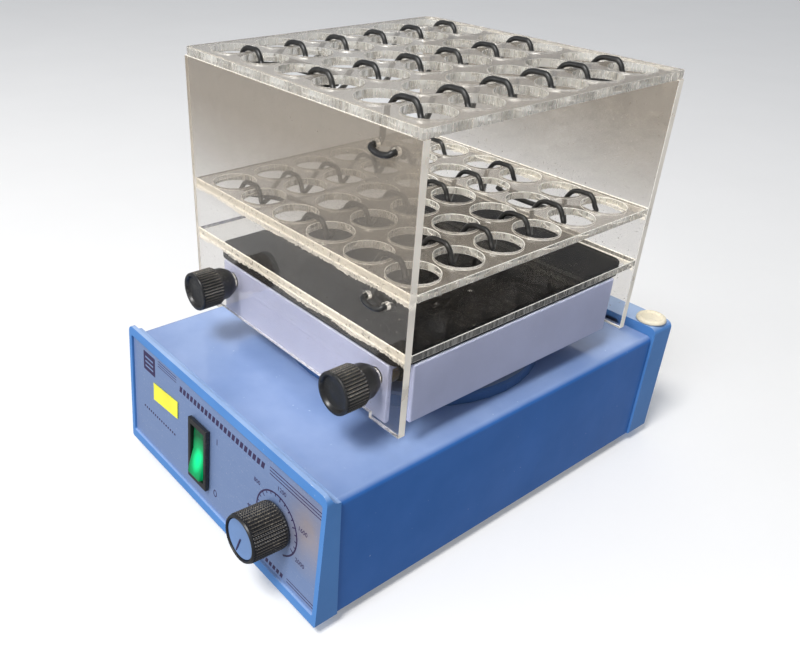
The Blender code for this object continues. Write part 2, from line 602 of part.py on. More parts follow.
def lacing(top_z):
    """The cord's centre line: in through the front plate, over each web line in turn and under
    the plate between the arches."""
    low = top_z - PLATE - CORD_R - 0.7
    crest = top_z + CORD_R + RISE
    anchor_z = top_z - 10.6 if top_z == TOP_Z else top_z - 8.8
    front_y = RACK_Y[0]
    one, two = CORD_ANCHOR_X
    path = [
        (two - 0.8, front_y + PLATE + 3.4, anchor_z - 2.6),
        (two, front_y + PLATE + 1.8, anchor_z - 0.6),
        (two, front_y + PLATE, anchor_z),
        (two, front_y - 0.6, anchor_z),
        (two - 0.8, front_y - 1.8, anchor_z - 0.7),
        ((one + two) / 2, front_y - 2.0, anchor_z - 1.5),
        (one + 0.8, front_y - 1.8, anchor_z - 0.5),
        (one, front_y - 0.6, anchor_z),
        (one, front_y + PLATE, anchor_z),
        (one - 0.6, front_y + PLATE + 2.2, anchor_z + 0.8),
    ]
    for index, web in enumerate(webs):
        order = rows if index % 2 == 0 else rows[::-1]
        if index > 0:
            between = (order[0] + order[1]) / 2
            path.append((webs[index - 1] - 3.0, between, low))
            path.append((web + 8.6, between, low))
        for row in order:
            y = row + ARCH_Y
            # each arch climbs gently on the left and drops steeply on the right
            arch = [
                (web - HALF_SPAN - 1.2, y, low),
                (web - HALF_SPAN, y, top_z - 2.0),
                (web - 5.6, y, top_z + 0.4),
                (web - 3.2, y, crest),
                (web, y, crest),
                (web + 3.2, y, crest),
                (web + 5.6, y, top_z - 0.6),
                (web + HALF_SPAN, y, low),
            ]
            path += arch if index % 2 == 0 else arch[::-1]
    path.append((webs[-1] + HALF_SPAN + 1.5, rows[-1] - 7.0, low - 1.5))
    return path


def cord(name, path, look):
    data = bpy.data.curves.new(name, "CURVE")
    data.dimensions = "3D"
    data.bevel_depth = CORD_R * MM
    data.bevel_resolution = 2
    data.use_fill_caps = True
    line = data.splines.new("POLY")
    line.points.add(len(path) - 1)
    for target, point in zip(line.points, path):
        target.co = (*world(point), 1.0)
    data.materials.append(look)
    obj = bpy.data.objects.new(name, data)
    parts.objects.link(obj)
    return obj


cord("top_cord", lacing(TOP_Z), cord_look)
cord("middle_cord", lacing(MIDDLE_Z), cord_look)
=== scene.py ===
"""Looks for the vortex mixer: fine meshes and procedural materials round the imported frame."""
import json
from itertools import product
from math import atan2, cos, pi, radians, sin

import bmesh
import bpy
from mathutils import Matrix, Vector, noise


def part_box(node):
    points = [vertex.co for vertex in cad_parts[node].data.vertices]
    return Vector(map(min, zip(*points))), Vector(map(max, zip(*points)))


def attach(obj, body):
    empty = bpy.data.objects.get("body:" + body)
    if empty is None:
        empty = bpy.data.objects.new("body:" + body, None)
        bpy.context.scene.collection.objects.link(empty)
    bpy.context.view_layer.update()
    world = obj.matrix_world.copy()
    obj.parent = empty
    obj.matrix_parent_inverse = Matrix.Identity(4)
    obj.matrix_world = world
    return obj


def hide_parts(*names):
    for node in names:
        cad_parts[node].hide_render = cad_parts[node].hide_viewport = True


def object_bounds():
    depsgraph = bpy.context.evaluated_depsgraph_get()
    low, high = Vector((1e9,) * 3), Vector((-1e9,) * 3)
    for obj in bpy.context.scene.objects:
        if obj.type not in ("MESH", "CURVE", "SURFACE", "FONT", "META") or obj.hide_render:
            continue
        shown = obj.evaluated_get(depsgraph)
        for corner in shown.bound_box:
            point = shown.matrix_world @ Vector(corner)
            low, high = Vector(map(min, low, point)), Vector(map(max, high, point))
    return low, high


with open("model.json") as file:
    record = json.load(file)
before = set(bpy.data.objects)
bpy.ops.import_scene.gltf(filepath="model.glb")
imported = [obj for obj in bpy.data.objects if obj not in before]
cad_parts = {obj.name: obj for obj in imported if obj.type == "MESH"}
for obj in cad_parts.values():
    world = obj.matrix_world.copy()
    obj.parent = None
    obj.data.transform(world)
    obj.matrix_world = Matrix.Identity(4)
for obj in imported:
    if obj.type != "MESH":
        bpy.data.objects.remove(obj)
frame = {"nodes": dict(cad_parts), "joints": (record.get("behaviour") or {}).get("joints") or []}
cad_low, cad_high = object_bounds()

MM = 0.001
OVER = 0.01  # how far a cutting shape reaches past the surface it opens
UPWARD = (0.0, 0.0, 1.0)
BACKWARD = (0.0, 1.0, 0.0)
FORWARD = (0.0, -1.0, 0.0)
joints = {joint["name"]: joint for joint in frame["joints"]}
scene = bpy.context.scene


def in_scene(name, data):
    obj = bpy.data.objects.new(name, data)
    scene.collection.objects.link(obj)
    return obj


# ---- camera and studio
CAMERA_AT = Vector((0.24723, -0.24187, 0.26731))
CAMERA_FORWARD = Vector((-0.66593, 0.53358, -0.52138))
CAMERA_RIGHT = Vector((0.61565, 0.78777, 0.01987))
camera_data = bpy.data.cameras.new("camera")
camera_data.sensor_width = 36.0
camera_data.lens = 36.36
camera_data.shift_x = 0.0942
camera_data.shift_y = 0.0207
camera_data.clip_start = 0.01
camera_data.clip_end = 50.0
camera = in_scene("camera", camera_data)
back = -CAMERA_FORWARD.normalized()
right = (CAMERA_RIGHT - back * CAMERA_RIGHT.dot(back)).normalized()
up = back.cross(right)
axes = Matrix((right, up, back)).transposed().to_4x4()
camera.matrix_world = Matrix.Translation(CAMERA_AT) @ axes
scene.camera = camera


def area_light(name, at, target, size, power, colour=(1.0, 1.0, 1.0)):
    data = bpy.data.lights.new(name, "AREA")
    data.shape = "RECTANGLE"
    data.size, data.size_y = size
    data.energy = power
    data.color = colour
    light = in_scene(name, data)
    light.location = at
    aim = Vector(target) - Vector(at)
    light.rotation_mode = "QUATERNION"
    light.rotation_quaternion = aim.to_track_quat("-Z", "Y")
    return light


area_light("key_light", (0.25, -0.85, 1.4), (0.0, 0.0, 0.05), (0.4, 0.4), 21.0, (1.0, 0.985, 0.96))
area_light("front_light", (-0.5, -1.6, 0.55), (0.0, 0.0, 0.06), (1.2, 1.0), 9.0)
sheen_light = area_light("sheen_light", (-1.03, 0.96, 0.95), (0.0, 0.0, 0.06), (2.1, 1.1), 4.5)
world = bpy.data.worlds.new("studio")
scene.world = world
world.use_nodes = True
sky = world.node_tree.nodes["Background"].inputs
sky["Color"].default_value = (0.92, 0.95, 1.0, 1.0)
sky["Strength"].default_value = 0.42
scene.view_settings.view_transform = "Standard"

floor_mesh = bpy.data.meshes.new("floor")
floor_bm = bmesh.new()
bmesh.ops.create_grid(floor_bm, x_segments=1, y_segments=1, size=6.0)
floor_bm.to_mesh(floor_mesh)
floor_bm.free()
floor = in_scene("floor", floor_mesh)
floor.location.z = cad_low.z - 0.0002
floor.visible_diffuse = False
floor.visible_glossy = False


# ---- materials
class Look:
    """A Principled material with a few short ways to give it procedural detail."""

    def __init__(self, name, colour, roughness, metallic=0.0, **settings):
        self.material = bpy.data.materials.new(name)
        self.material.use_nodes = True
        self.tree = self.material.node_tree
        self.shader = self.tree.nodes["Principled BSDF"]
        start = {"Base Color": colour, "Roughness": roughness, "Metallic": metallic}
        for key, value in (start | settings).items():
            self.set(key.replace("_", " "), value)
        self.material.diffuse_color = (*colour, 1.0)
        self.place = self.add("TexCoord").outputs["Object"]

    def plug(self, socket, value):
        """Links an output to a socket, or sets the socket's value; colours come as r, g, b."""
        if isinstance(value, bpy.types.NodeSocket):
            self.tree.links.new(value, socket)
        else:
            socket.default_value = (*value, 1.0) if socket.type == "RGBA" else value

    def set(self, socket, value):
        self.plug(self.shader.inputs[socket], value)

    def add(self, kind, **inputs):
        node = self.tree.nodes.new("ShaderNode" + kind)
        for key, value in inputs.items():
            self.plug(node.inputs[key.replace("_", " ")], value)
        return node

    def noise(self, scale, detail=3.0, roughness=0.55, squeeze=None, turn=(0.0, 0.0, 0.0)):
        """Cloudy noise; scale is in features per metre, and squeeze multiplies it by axis."""
        place = self.place
        if squeeze:
            place = self.add("Mapping", Vector=place, Scale=squeeze, Rotation=turn).outputs[0]
        fine = {"Scale": scale, "Detail": detail, "Roughness": roughness}
        return self.add("TexNoise", Vector=place, **fine).outputs["Fac"]

    def levels(self, value, low, high, out_low=0.0, out_high=1.0):
        """Stretches the span from low to high over the span from out_low to out_high."""
        node = self.add(
            "MapRange", Value=value, From_Min=low, From_Max=high, To_Min=out_low, To_Max=out_high
        )
        return node.outputs["Result"]

    def math(self, operation, one, two):
        node = self.add("Math")
        node.operation = operation
        self.plug(node.inputs[0], one)
        self.plug(node.inputs[1], two)
        return node.outputs["Value"]

    def blend(self, factor, one, two):
        """The colour one where factor is 0 and two where it is 1."""
        node = self.add("Mix")
        node.data_type = "RGBA"
        for index, value in ((0, factor), (6, one), (7, two)):
            self.plug(node.inputs[index], value)
        return node.outputs[2]

    def distance(self, centre, squeeze):
        """How far a point is from centre, with each axis scaled by squeeze."""
        found = self.place
        for operation, value in (("SUBTRACT", centre), ("MULTIPLY", squeeze), ("LENGTH", None)):
            node = self.add("VectorMath")
            node.operation = operation
            self.plug(node.inputs[0], found)
            if value is not None:
                self.plug(node.inputs[1], value)
            found = node.outputs[0]
        return node.outputs["Value"]

    def over(self, shader, factor=None):
        """Mixes another shader over the surface so far, or adds it where there is no factor."""
        surface = self.tree.nodes["Material Output"].inputs["Surface"]
        node = self.add("AddShader") if factor is None else self.add("MixShader", Fac=factor)
        below, above = list(node.inputs)[-2:]
        self.plug(below, surface.links[0].from_socket)
        self.plug(above, shader)
        self.plug(surface, node.outputs["Shader"])

    def grains(self, scale, detail, *levels):
        return self.levels(self.noise(scale, detail), *levels)

    def colour(self, factor, one, two):
        self.set("Base Color", self.blend(factor, one, two))

    def rough(self, *levels):
        self.set("Roughness", self.levels(*levels))

    def bump(self, height, strength, distance):
        node = self.add("Bump", Height=height, Strength=strength, Distance=distance)
        self.set("Normal", node.outputs["Normal"])


# pale colour of a painted sheen: the upward faces of the paint blend towards it
PAINTED_TOP_SHEEN = (0.80, 0.86, 0.92)
FILM = (0.36, 0.325, 0.28)


def enamel(name, colour, dull, peel, speck_colour):
    """Sprayed gloss paint: faint orange peel, cloudy wear in the gloss, a few specks, and a pale
    painted sheen on the faces that look up, in place of the bright reflection on the tops."""
    look = Look(name, colour, dull, Coat_Weight=0.8, Coat_Roughness=0.1, Specular_IOR_Level=0.18)
    clouds = look.noise(28.0, 4.0)
    paler = tuple(min(1.0, c * 1.12 + 0.012) for c in colour)
    base = look.blend(look.levels(clouds, 0.35, 0.7), colour, paler)
    geometry = look.add("NewGeometry")
    facing_way = look.add("SeparateXYZ", Vector=geometry.outputs["Normal"])
    upward = look.levels(facing_way.outputs["Z"], 0.5, 0.95)
    # painted sheen: faces that look up are blended, cloudily, towards a pale colour that stands in
    # for the reflection on the tops
    painted_top_sheen = look.math("MULTIPLY", upward, look.levels(clouds, 0.3, 0.7, 0.22, 0.30))
    base = look.blend(painted_top_sheen, base, PAINTED_TOP_SHEEN)
    look.set("Coat Weight", look.levels(upward, 0.0, 1.0, 0.05, 0.8))
    specks = look.grains(620.0, 1.0, 0.755, 0.80, 0.0, 0.6)
    sparse = look.grains(60.0, 2.0, 0.48, 0.62)
    look.colour(look.math("MULTIPLY", specks, sparse), base, speck_colour)
    rubbed = look.noise(9.0, 6.0, 0.65, (1.0, 3.0, 1.0), (0.0, 0.0, 0.5))
    look.rough(rubbed, 0.3, 0.75, dull - 0.07, dull + 0.13)
    look.bump(look.noise(520.0, 2.0), peel, 0.0002)
    return look.material


def moulded(name, colour, roughness, grain, dust=None, **settings):
    """Moulded plastic: fine grain and uneven gloss, with dust in patches if a colour is given."""
    look = Look(name, colour, roughness, **settings)
    patches = look.noise(45.0, 5.0, 0.6)
    paler = tuple(min(1.0, c * 1.25 + 0.004) for c in colour)
    base = look.blend(look.levels(patches, 0.35, 0.75), colour, paler)
    if dust is not None:
        fine = look.math("MULTIPLY", look.noise(900.0, 2.0), look.noise(70.0, 3.0))
        base = look.blend(look.levels(fine, 0.27, 0.42, 0.0, 0.6), base, dust)
    look.set("Base Color", base)
    look.rough(patches, 0.3, 0.7, roughness - 0.06, roughness + 0.1)
    look.bump(look.noise(2600.0, 2.0), grain, 0.0001)
    return look.material


def metal(name, colour, roughness, brushed=(1.0, 1.0, 14.0)):
    """Bare metal with fine tool marks, stretched across the directions with small scales."""
    look = Look(name, colour, roughness, 1.0)
    marks = look.noise(420.0, 3.0, 0.6, brushed)
    stain = look.noise(60.0, 4.0)
    darker = tuple(c * 0.72 for c in colour)
    look.colour(look.levels(stain, 0.45, 0.75), colour, darker)
    look.rough(marks, 0.25, 0.75, roughness - 0.1, roughness + 0.14)
    look.bump(marks, 0.12, 0.0001)
    return look.material


def lets_lamps_through(look, tint):
    """Shadow rays pass straight through, so that lamps light what stands behind the glass."""
    path = look.add("LightPath")
    open_air = look.add("BsdfTransparent", Color=tint)
    look.over(open_air.outputs["BSDF"], path.outputs["Is Shadow Ray"])


def film(look, factor, colour):
    """A thin dusty film over the clear sheet, where factor is above 0."""
    look.over(look.add("BsdfDiffuse", Color=colour).outputs["BSDF"], factor)


def clear_sheet(name, tint, haze, ior=1.45, foot=None):
    """Cast acrylic, a little smoky, with a cloudy film of dust: haze is how thick the film is.
    An upright sheet has a clearer foot: its top height, its tint and its share of the film."""
    look = Look(name, tint, 0.01, IOR=ior, Transmission_Weight=1.0)
    smear = look.noise(13.0, 5.0, 0.6, (1.0, 1.0, 0.4), (0.3, 0.5, 0.2))
    look.rough(smear, 0.4, 0.8, 0.0, 0.07)
    fine = look.noise(170.0, 3.0, 0.6, (1.0, 14.0, 9.0), (0.4, 0.2, 0.9))
    wear = min(1.0, haze * 4.0)
    scratches = look.levels(fine, 0.71, 0.78, 0.0, 0.25 * wear)
    grit = look.grains(900.0, 1.0, 0.73, 0.76, 0.0, 0.5 * wear)
    cloud = look.levels(smear, 0.3, 0.75, haze * 0.45, haze * 1.5)
    if foot is not None:
        foot_top, foot_tint, foot_share = foot
        split = look.add("SeparateXYZ", Vector=look.place)
        climb = look.levels(split.outputs["Z"], foot_top, foot_top + 0.05)
        look.colour(climb, foot_tint, tint)
        cloud = look.math("MULTIPLY", cloud, look.levels(climb, 0.0, 1.0, foot_share, 1.0))
    film(look, look.math("ADD", look.math("ADD", scratches, grit), cloud), FILM)
    lets_lamps_through(look, (0.88, 0.87, 0.85))
    return look.material


def sawn_edge():
    """Sawn or drilled walls of the clear sheet: streaked across the sheet and slightly milky."""
    look = Look("acrylic_sawn", (0.86, 0.85, 0.82), 0.2, IOR=1.45, Transmission_Weight=1.0)
    saw = look.noise(520.0, 3.0, 0.6, (1.0, 1.0, 0.12))
    look.rough(saw, 0.3, 0.7, 0.1, 0.4)
    look.bump(saw, 0.4, 0.0002)
    film(look, look.levels(saw, 0.32, 0.72, 0.06, 0.5), (0.70, 0.68, 0.63))
    lets_lamps_through(look, (0.8, 0.79, 0.77))
    return look.material


def milky(name, thin, thick, colour, scale, glow):
    """Cream acrylic cement, or an edge that has gone milky: thin and thick give its cover, glow
    the strength of a painted glow, an emission that stands in for the light the sheet pipes out."""
    look = Look(name, (0.92, 0.90, 0.86), 0.3, IOR=1.45, Transmission_Weight=1.0)
    patches = look.noise(scale, 4.0, 0.62)
    look.rough(patches, 0.3, 0.7, 0.2, 0.45)
    look.bump(patches, 0.25, 0.0003)
    film(look, look.levels(patches, 0.35, 0.65, thin, thick), colour)
    look.over(look.add("Emission", Color=colour, Strength=glow).outputs["Emission"])
    lets_lamps_through(look, (0.85, 0.83, 0.8))
    return look.material


# centre of a warm tan patch on the foil: a painted reflection
PAINTED_REFLECTION_AT = (0.067, 0.0, 0.046)


def foil_look():
    """Brushed silver-blue foil, with a warm tan painted reflection mottled beside the dial."""
    look = Look("panel_foil", (0.22, 0.31, 0.55), 0.36, 0.3)
    grain = look.noise(120.0, 2.0, 0.5, (1.0, 40.0, 40.0))
    cool = look.blend(look.levels(grain, 0.3, 0.7), (0.20, 0.295, 0.54), (0.245, 0.34, 0.58))
    dots = look.grains(1500.0, 1.0, 0.66, 0.72, 0.0, 0.4)
    cool = look.blend(dots, cool, (0.55, 0.60, 0.72))
    # painted reflection: the foil turns a mottled warm tan near this point
    reflection_patch = look.levels(look.distance(PAINTED_REFLECTION_AT, (1.0, 0.0, 0.8)), 0.004, 0.019, 0.75, 0.0)
    mottled_reflection = look.math("MULTIPLY", reflection_patch, look.grains(90.0, 3.0, 0.3, 0.65, 0.6, 1.0))
    look.colour(mottled_reflection, cool, (0.46, 0.38, 0.36))
    look.rough(grain, 0.3, 0.7, 0.3, 0.46)
    look.bump(grain, 0.05, 0.0001)
    return look.material


def rubber_mat_look():
    """Black rubber under beige dust: cloudy, and in sparse specks and fibres."""
    look = Look("mat_rubber", (0.010, 0.010, 0.011), 0.8, Specular_IOR_Level=0.08)
    patches = look.noise(22.0, 6.0, 0.62)
    fibres = look.noise(260.0, 3.0, 0.6, (1.0, 8.0, 1.0), (0.0, 0.0, 0.7))
    specks = look.grains(1100.0, 2.0, 0.66, 0.74, 0.0, 0.3)
    cloud = look.levels(patches, 0.5, 0.85, 0.0, 0.12)
    dusty = look.blend(cloud, (0.006, 0.006, 0.007), (0.05, 0.046, 0.038))
    dusty = look.blend(specks, dusty, (0.30, 0.27, 0.20))
    look.colour(look.levels(fibres, 0.71, 0.77, 0.0, 0.3), dusty, (0.26, 0.25, 0.22))
    look.rough(patches, 0.3, 0.7, 0.6, 0.85)
    look.bump(look.noise(900.0, 2.0), 0.3, 0.0002)
    return look.material


def lit_rocker_look(centre):
    """Translucent green key, brightest where its lamp sits behind it."""
    look = Look("rocker_green", (0.0, 0.12, 0.035), 0.3, Coat_Weight=0.1, Specular_IOR_Level=0.25)
    away = look.distance(centre, (1.5, 1.0, 0.9))
    glow = look.levels(away, 0.0, 0.012, 1.0, 0.0)
    core = look.levels(away, 0.001, 0.0065, 1.0, 0.0)
    wide = look.blend(glow, (0.0, 0.03, 0.01), (0.0, 0.62, 0.19))
    look.set("Emission Color", look.blend(core, wide, (0.0, 1.0, 0.36)))
    look.set("Emission Strength", 1.25)
    look.colour(look.grains(500.0, 2.0, 0.3, 0.7), (0.0, 0.05, 0.015), (0.0, 0.10, 0.03))
    look.bump(look.noise(900.0, 2.0), 0.08, 0.0001)
    return look.material


def floor_look():
    look = Look("floor_paper", (0.86,) * 3, 0.8, Emission_Color=(1.0,) * 3, Emission_Strength=0.12)
    look.colour(look.grains(8.0, 4.0, 0.3, 0.7), (0.85,) * 3, (0.87,) * 3)
    return look.material


BLUE = (0.030, 0.145, 0.47)
cover_paint = enamel("cover_enamel", BLUE, 0.34, 0.05, (0.55, 0.68, 0.85))
frame_paint = enamel("frame_enamel", (0.085, 0.25, 0.60), 0.34, 0.03, (0.55, 0.68, 0.85))
# the collar's paint is darker than the cover's: painted shade for where it sits under the platform
shaded_collar_paint = enamel("collar_enamel_painted_shade", (0.04, 0.10, 0.25), 0.4, 0.05, (0.3, 0.4, 0.5))
tray_paint = enamel("tray_enamel", (0.42, 0.45, 0.63), 0.38, 0.05, (0.75, 0.76, 0.80))
foil = foil_look()
print_ink = moulded("panel_ink", (0.030, 0.018, 0.075), 0.5, 0.02)
label_paper = moulded("label_paper", (0.93, 0.84, 0.06), 0.55, 0.25)
black_plastic = moulded("black_plastic", (0.011, 0.011, 0.012), 0.34, 0.06, (0.07, 0.068, 0.062))
# paler plastic for the knurl crests: rubbed wear, with a painted highlight
worn_highlit_plastic = moulded("worn_highlit_plastic", (0.085, 0.076, 0.062), 0.42, 0.08, (0.42, 0.36, 0.27))
dark_well = moulded("dark_plastic", (0.006, 0.006, 0.007), 0.5, 0.05)
cap_foil = moulded("cap_foil", (0.165, 0.28, 0.53), 0.35, 0.05, Metallic=0.2)
rubber_mat = rubber_mat_look()
cord_rubber = moulded("cord_rubber", (0.012, 0.012, 0.012), 0.33, 0.04, (0.05, 0.048, 0.043))
foot_rubber = moulded("foot_rubber", (0.018, 0.018, 0.018), 0.7, 0.25, (0.08, 0.075, 0.07))
belt_rubber = moulded("belt_rubber", (0.02, 0.02, 0.02), 0.65, 0.3)
ivory = moulded("ivory_plastic", (0.77, 0.71, 0.56), 0.38, 0.08, (0.5, 0.46, 0.38))
SMOKE = (0.47, 0.42, 0.36)
FOOT_CLEAR = (0.128, (0.86, 0.84, 0.815), 0.08)
front_clear = clear_sheet("acrylic_front", SMOKE, 0.32, foot=FOOT_CLEAR)
back_clear = clear_sheet("acrylic_back", SMOKE, 0.26, foot=FOOT_CLEAR)
top_clear = clear_sheet("acrylic_top", (0.86, 0.84, 0.80), 0.26)
middle_clear = clear_sheet("acrylic_middle", (0.84, 0.82, 0.79), 0.24)
bottom_clear = clear_sheet("acrylic_bottom", (0.93, 0.92, 0.90), 0.0, ior=1.14)
sawn = sawn_edge()
# the bevelled edges of the clear sheets: a painted highlight, a bright cream film with a glow
arris_painted_highlight = milky("acrylic_arris_painted_highlight", 0.55, 0.95, (0.86, 0.84, 0.79), 300.0, 0.12)
# the milky edge and the cements glow as well: painted light from emission
milky_edge = milky("acrylic_milky", 0.5, 0.95, (0.84, 0.79, 0.71), 60.0, 0.22)
cement = milky("acrylic_cement", 0.2, 1.0, (0.88, 0.85, 0.79), 620.0, 0.2)
thin_cement = milky("acrylic_cement_thin", 0.1, 0.7, (0.78, 0.75, 0.68), 420.0, 0.06)
frosty_cement = milky("acrylic_cement_frosty", -0.55, 1.15, (0.88, 0.85, 0.79), 1250.0, 0.05)
steel = metal("turned_steel", (0.60, 0.60, 0.62), 0.3)
zinc = metal("zinc_plate", (0.55, 0.56, 0.56), 0.42, (6.0, 1.0, 1.0))
cast = metal("cast_aluminium", (0.52, 0.53, 0.55), 0.5, (1.0, 1.0, 1.0))
brass = metal("turned_brass", (0.72, 0.52, 0.25), 0.3)
iron = metal("lacquered_iron", (0.20, 0.20, 0.22), 0.5, (1.0, 1.0, 24.0))
board = moulded("circuit_board", (0.02, 0.14, 0.05), 0.4, 0.1)
coil_tape = moulded("coil_tape", (0.62, 0.40, 0.05), 0.45, 0.2)
floor.data.materials.append(floor_look())


# ---- mesh helpers
def rounded(x0, x1, y0, y1, radii, steps=10):
    """A rectangle's outline, anticlockwise from lower left. radii: lower left, lower right,
    upper right, upper left."""
    corners = (
        (x0, y0, 1, 1, 180.0), (x1, y0, -1, 1, 270.0), (x1, y1, -1, -1, 0.0), (x0, y1, 1, -1, 90.0),
    )
    outline = []
    for (cx, cy, sx, sy, start), r in zip(corners, radii):
        for i in range(steps + 1 if r else 1):
            a = radians(start + 90.0 * i / steps)
            outline.append((cx + sx * r + r * cos(a), cy + sy * r + r * sin(a)))
    return outline


def sides(low, high, radii=(0, 0, 0, 0), steps=10, axis=2, grow=0.0):
    """A box's outline in x and z, or in x and y where axis is 1, grown all round."""
    return rounded(
        low.x - grow, high.x + grow, low[axis] - grow, high[axis] + grow, radii, steps
    )


def ring(cx, cy, r, segments):
    turns = [2 * pi * i / segments for i in range(segments)]
    return [(cx + r * cos(a), cy + r * sin(a)) for a in turns]


def bridge(bm, one, two):
    """Walls between two loops of as many vertices."""
    for i in range(len(one)):
        j = (i + 1) % len(one)
        bm.faces.new([one[i], one[j], two[j], two[i]])


def prism(low, high, bm=None):
    """Joins two loops of as many points into a closed solid."""
    bm = bm or bmesh.new()
    lower, upper = ([bm.verts.new(p) for p in loop] for loop in (low, high))
    bm.faces.new(lower[::-1])
    bm.faces.new(upper)
    bridge(bm, lower, upper)
    return bm


def upright(outline, z0, z1, bm=None):
    """An outline in x and y, extruded from z0 to z1."""
    return prism(*([(x, y, z) for x, y in outline] for z in (z0, z1)), bm)


def facing(outline, near, far):
    """An outline in x and z, from y=near to y=far, either of which may depend on z."""
    return prism(*([(x, y(z) if callable(y) else y, z) for x, z in outline] for y in (near, far)))


def block(low, high):
    outline = [(low[0], low[1]), (high[0], low[1]), (high[0], high[1]), (low[0], high[1])]
    return upright(outline, low[2], high[2])


def block_at(at, low, high):
    """A block with its corners this many mm from a point."""
    return block(*([a + v * MM for a, v in zip(at, corner)] for corner in (low, high)))


def moved(bm, matrix):
    bmesh.ops.transform(bm, matrix=matrix, verts=bm.verts)
    return bm


def object_from(name, bm, *looks):
    bmesh.ops.recalc_face_normals(bm, faces=bm.faces)
    mesh = bpy.data.meshes.new(name)
    bm.to_mesh(mesh)
    bm.free()
    for look in looks:
        mesh.materials.append(look)
    return in_scene(name, mesh)


def mesh_of(obj):
    """What the object looks like with its modifiers applied."""
    graph = bpy.context.evaluated_depsgraph_get()
    return bpy.data.meshes.new_from_object(obj.evaluated_get(graph))


def settle(obj):
    """Applies every modifier."""
    mesh, old = mesh_of(obj), obj.data
    obj.modifiers.clear()
    obj.data = mesh
    bpy.data.meshes.remove(old)
    return obj


def combine(obj, bm, operation="DIFFERENCE"):
    """Cuts or joins a closed bmesh with the piece, and drops the tool."""
    tool = object_from("tool", bm)
    step = obj.modifiers.new("combine", "BOOLEAN")
    step.operation = operation
    step.solver = "EXACT"
    step.object = tool
    settle(obj)
    bpy.data.meshes.remove(tool.data)
    return obj


def soften(obj, width, segments=3, angle=35.0):
    """Small round edges, this many mm wide, with the flats left flat."""
    bevel = obj.modifiers.new("soften", "BEVEL")
    bevel.limit_method = "ANGLE"
    bevel.angle_limit = radians(angle)
    bevel.width = width * MM
    bevel.segments = segments
    bevel.use_clamp_overlap = True
    bevel.harden_normals = True
    obj.data.shade_smooth()
    return obj


def smooth(obj, angle):
    obj.data.shade_smooth()
    obj.data.set_sharp_from_angle(angle=radians(angle))
    return obj


def done(obj, body, slot, *nodes):
    """The piece rides on a body and stands for CAD nodes."""
    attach(obj, body)
    if nodes:
        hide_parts(*nodes)
    return obj


def spun(profile, segments, ribs=0, depth=0.0, ribbed=()):
    """A solid turned about z. profile: (r, z) down the outside, both ends on the axis, or a
    closed loop. Points whose index is in ribbed get ribs cut in by depth."""
    bm = bmesh.new()
    rings = []
    for index, (r, z) in enumerate(profile):
        loop = []
        for i in range(segments if r else 1):
            a = 2 * pi * i / segments
            dip = depth * (0.5 - 0.5 * cos(a * ribs)) ** 0.8 if index in ribbed else 0.0
            loop.append(bm.verts.new(((r - dip) * cos(a), (r - dip) * sin(a), z)))
        rings.append(loop)
    pairs = list(zip(rings, rings[1:]))
    if profile[0][0] != 0:
        pairs.append((rings[-1], rings[0]))
    for one, two in pairs:
        for i in range(segments):
            picks = ((one, i), (two, i), (two, i + 1), (one, i + 1))
            # a loop on the axis has one vertex, which a face takes once
            bm.faces.new(dict.fromkeys(loop[k % len(loop)] for loop, k in picks))
    return bm


def knurled(bottom, top, r, rows, groove):
    """The side of a knurled grip from the top down, crossed by fine grooves."""
    side = []
    pitch = (top - bottom) / rows
    for k in range(rows):
        high = top - k * pitch
        side += [(r - groove, high), (r, high - pitch * 0.3), (r, high - pitch * 0.7)]
    side.append((r - groove, bottom))
    return side


def place(bm, at, axis):
    """Moves a shape made about z so that z points along axis."""
    turn = Vector(UPWARD).rotation_difference(Vector(axis)).to_matrix().to_4x4()
    return moved(bm, Matrix.Translation(Vector(at)) @ turn)


def in_mm(points):
    return [tuple(value * MM for value in point) for point in points]


def turned(name, profile, at, axis, look, angle, *spin):
    """A piece turned from a profile in mm, standing at a place along an axis."""
    bm = place(spun(in_mm(profile), *spin), at, axis)
    return smooth(object_from(name, bm, look), angle)


def grip(name, top, side, foot, at, axis, ribs, depth, worn_and_highlit):
    """A ribbed grip of black plastic with paler crests: rubbed wear and a painted highlight. worn:
    where along the axis they start and end, and how far out they are, in mm."""
    ribbed = range(len(top), len(top) + len(side))
    spin = (ribs * 8, ribs, depth * MM, ribbed)
    obj = turned(name, top + side + foot, at, axis, black_plastic, 32.0, *spin)
    obj.data.materials.append(worn_highlit_plastic)
    low, high, r = (value * MM for value in worn_and_highlit)
    way = Vector(axis).normalized()
    # faces out on the crests take the paler plastic: wear and a painted highlight
    for face in obj.data.polygons:
        offset = face.center - Vector(at)
        along = offset.dot(way)
        if low < along < high and (offset - way * along).length > r:
            face.material_index = 1
    return obj


def centre(node):
    """The middle of a CAD node's box."""
    return [(a + b) / 2 for a, b in zip(*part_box(node))]


def through(points, steps):
    """A smooth line through the points, with this many steps from one to the next."""
    ends = [points[0] * 2 - points[1]] + list(points) + [points[-1] * 2 - points[-2]]
    line = []
    for a, b, c, d in zip(ends, ends[1:], ends[2:], ends[3:]):
        at = [0.0]
        for p, q in ((a, b), (b, c), (c, d)):
            at.append(at[-1] + max((q - p).length, 1e-6) ** 0.5)
        for i in range(steps):
            t = at[1] + (at[2] - at[1]) * i / steps
            points_at = [a, b, c, d]
            for gap in (1, 2):
                points_at = [
                    p.lerp(q, (t - at[k]) / (at[k + gap] - at[k]))
                    for k, (p, q) in enumerate(zip(points_at, points_at[1:]))
                ]
            line.append(points_at[0].lerp(points_at[1], (t - at[1]) / (at[2] - at[1])))
    line.append(points[-1].copy())
    return line


painted = bpy.data.collections.new("painted")
sheen_light.light_linking.receiver_collection = painted

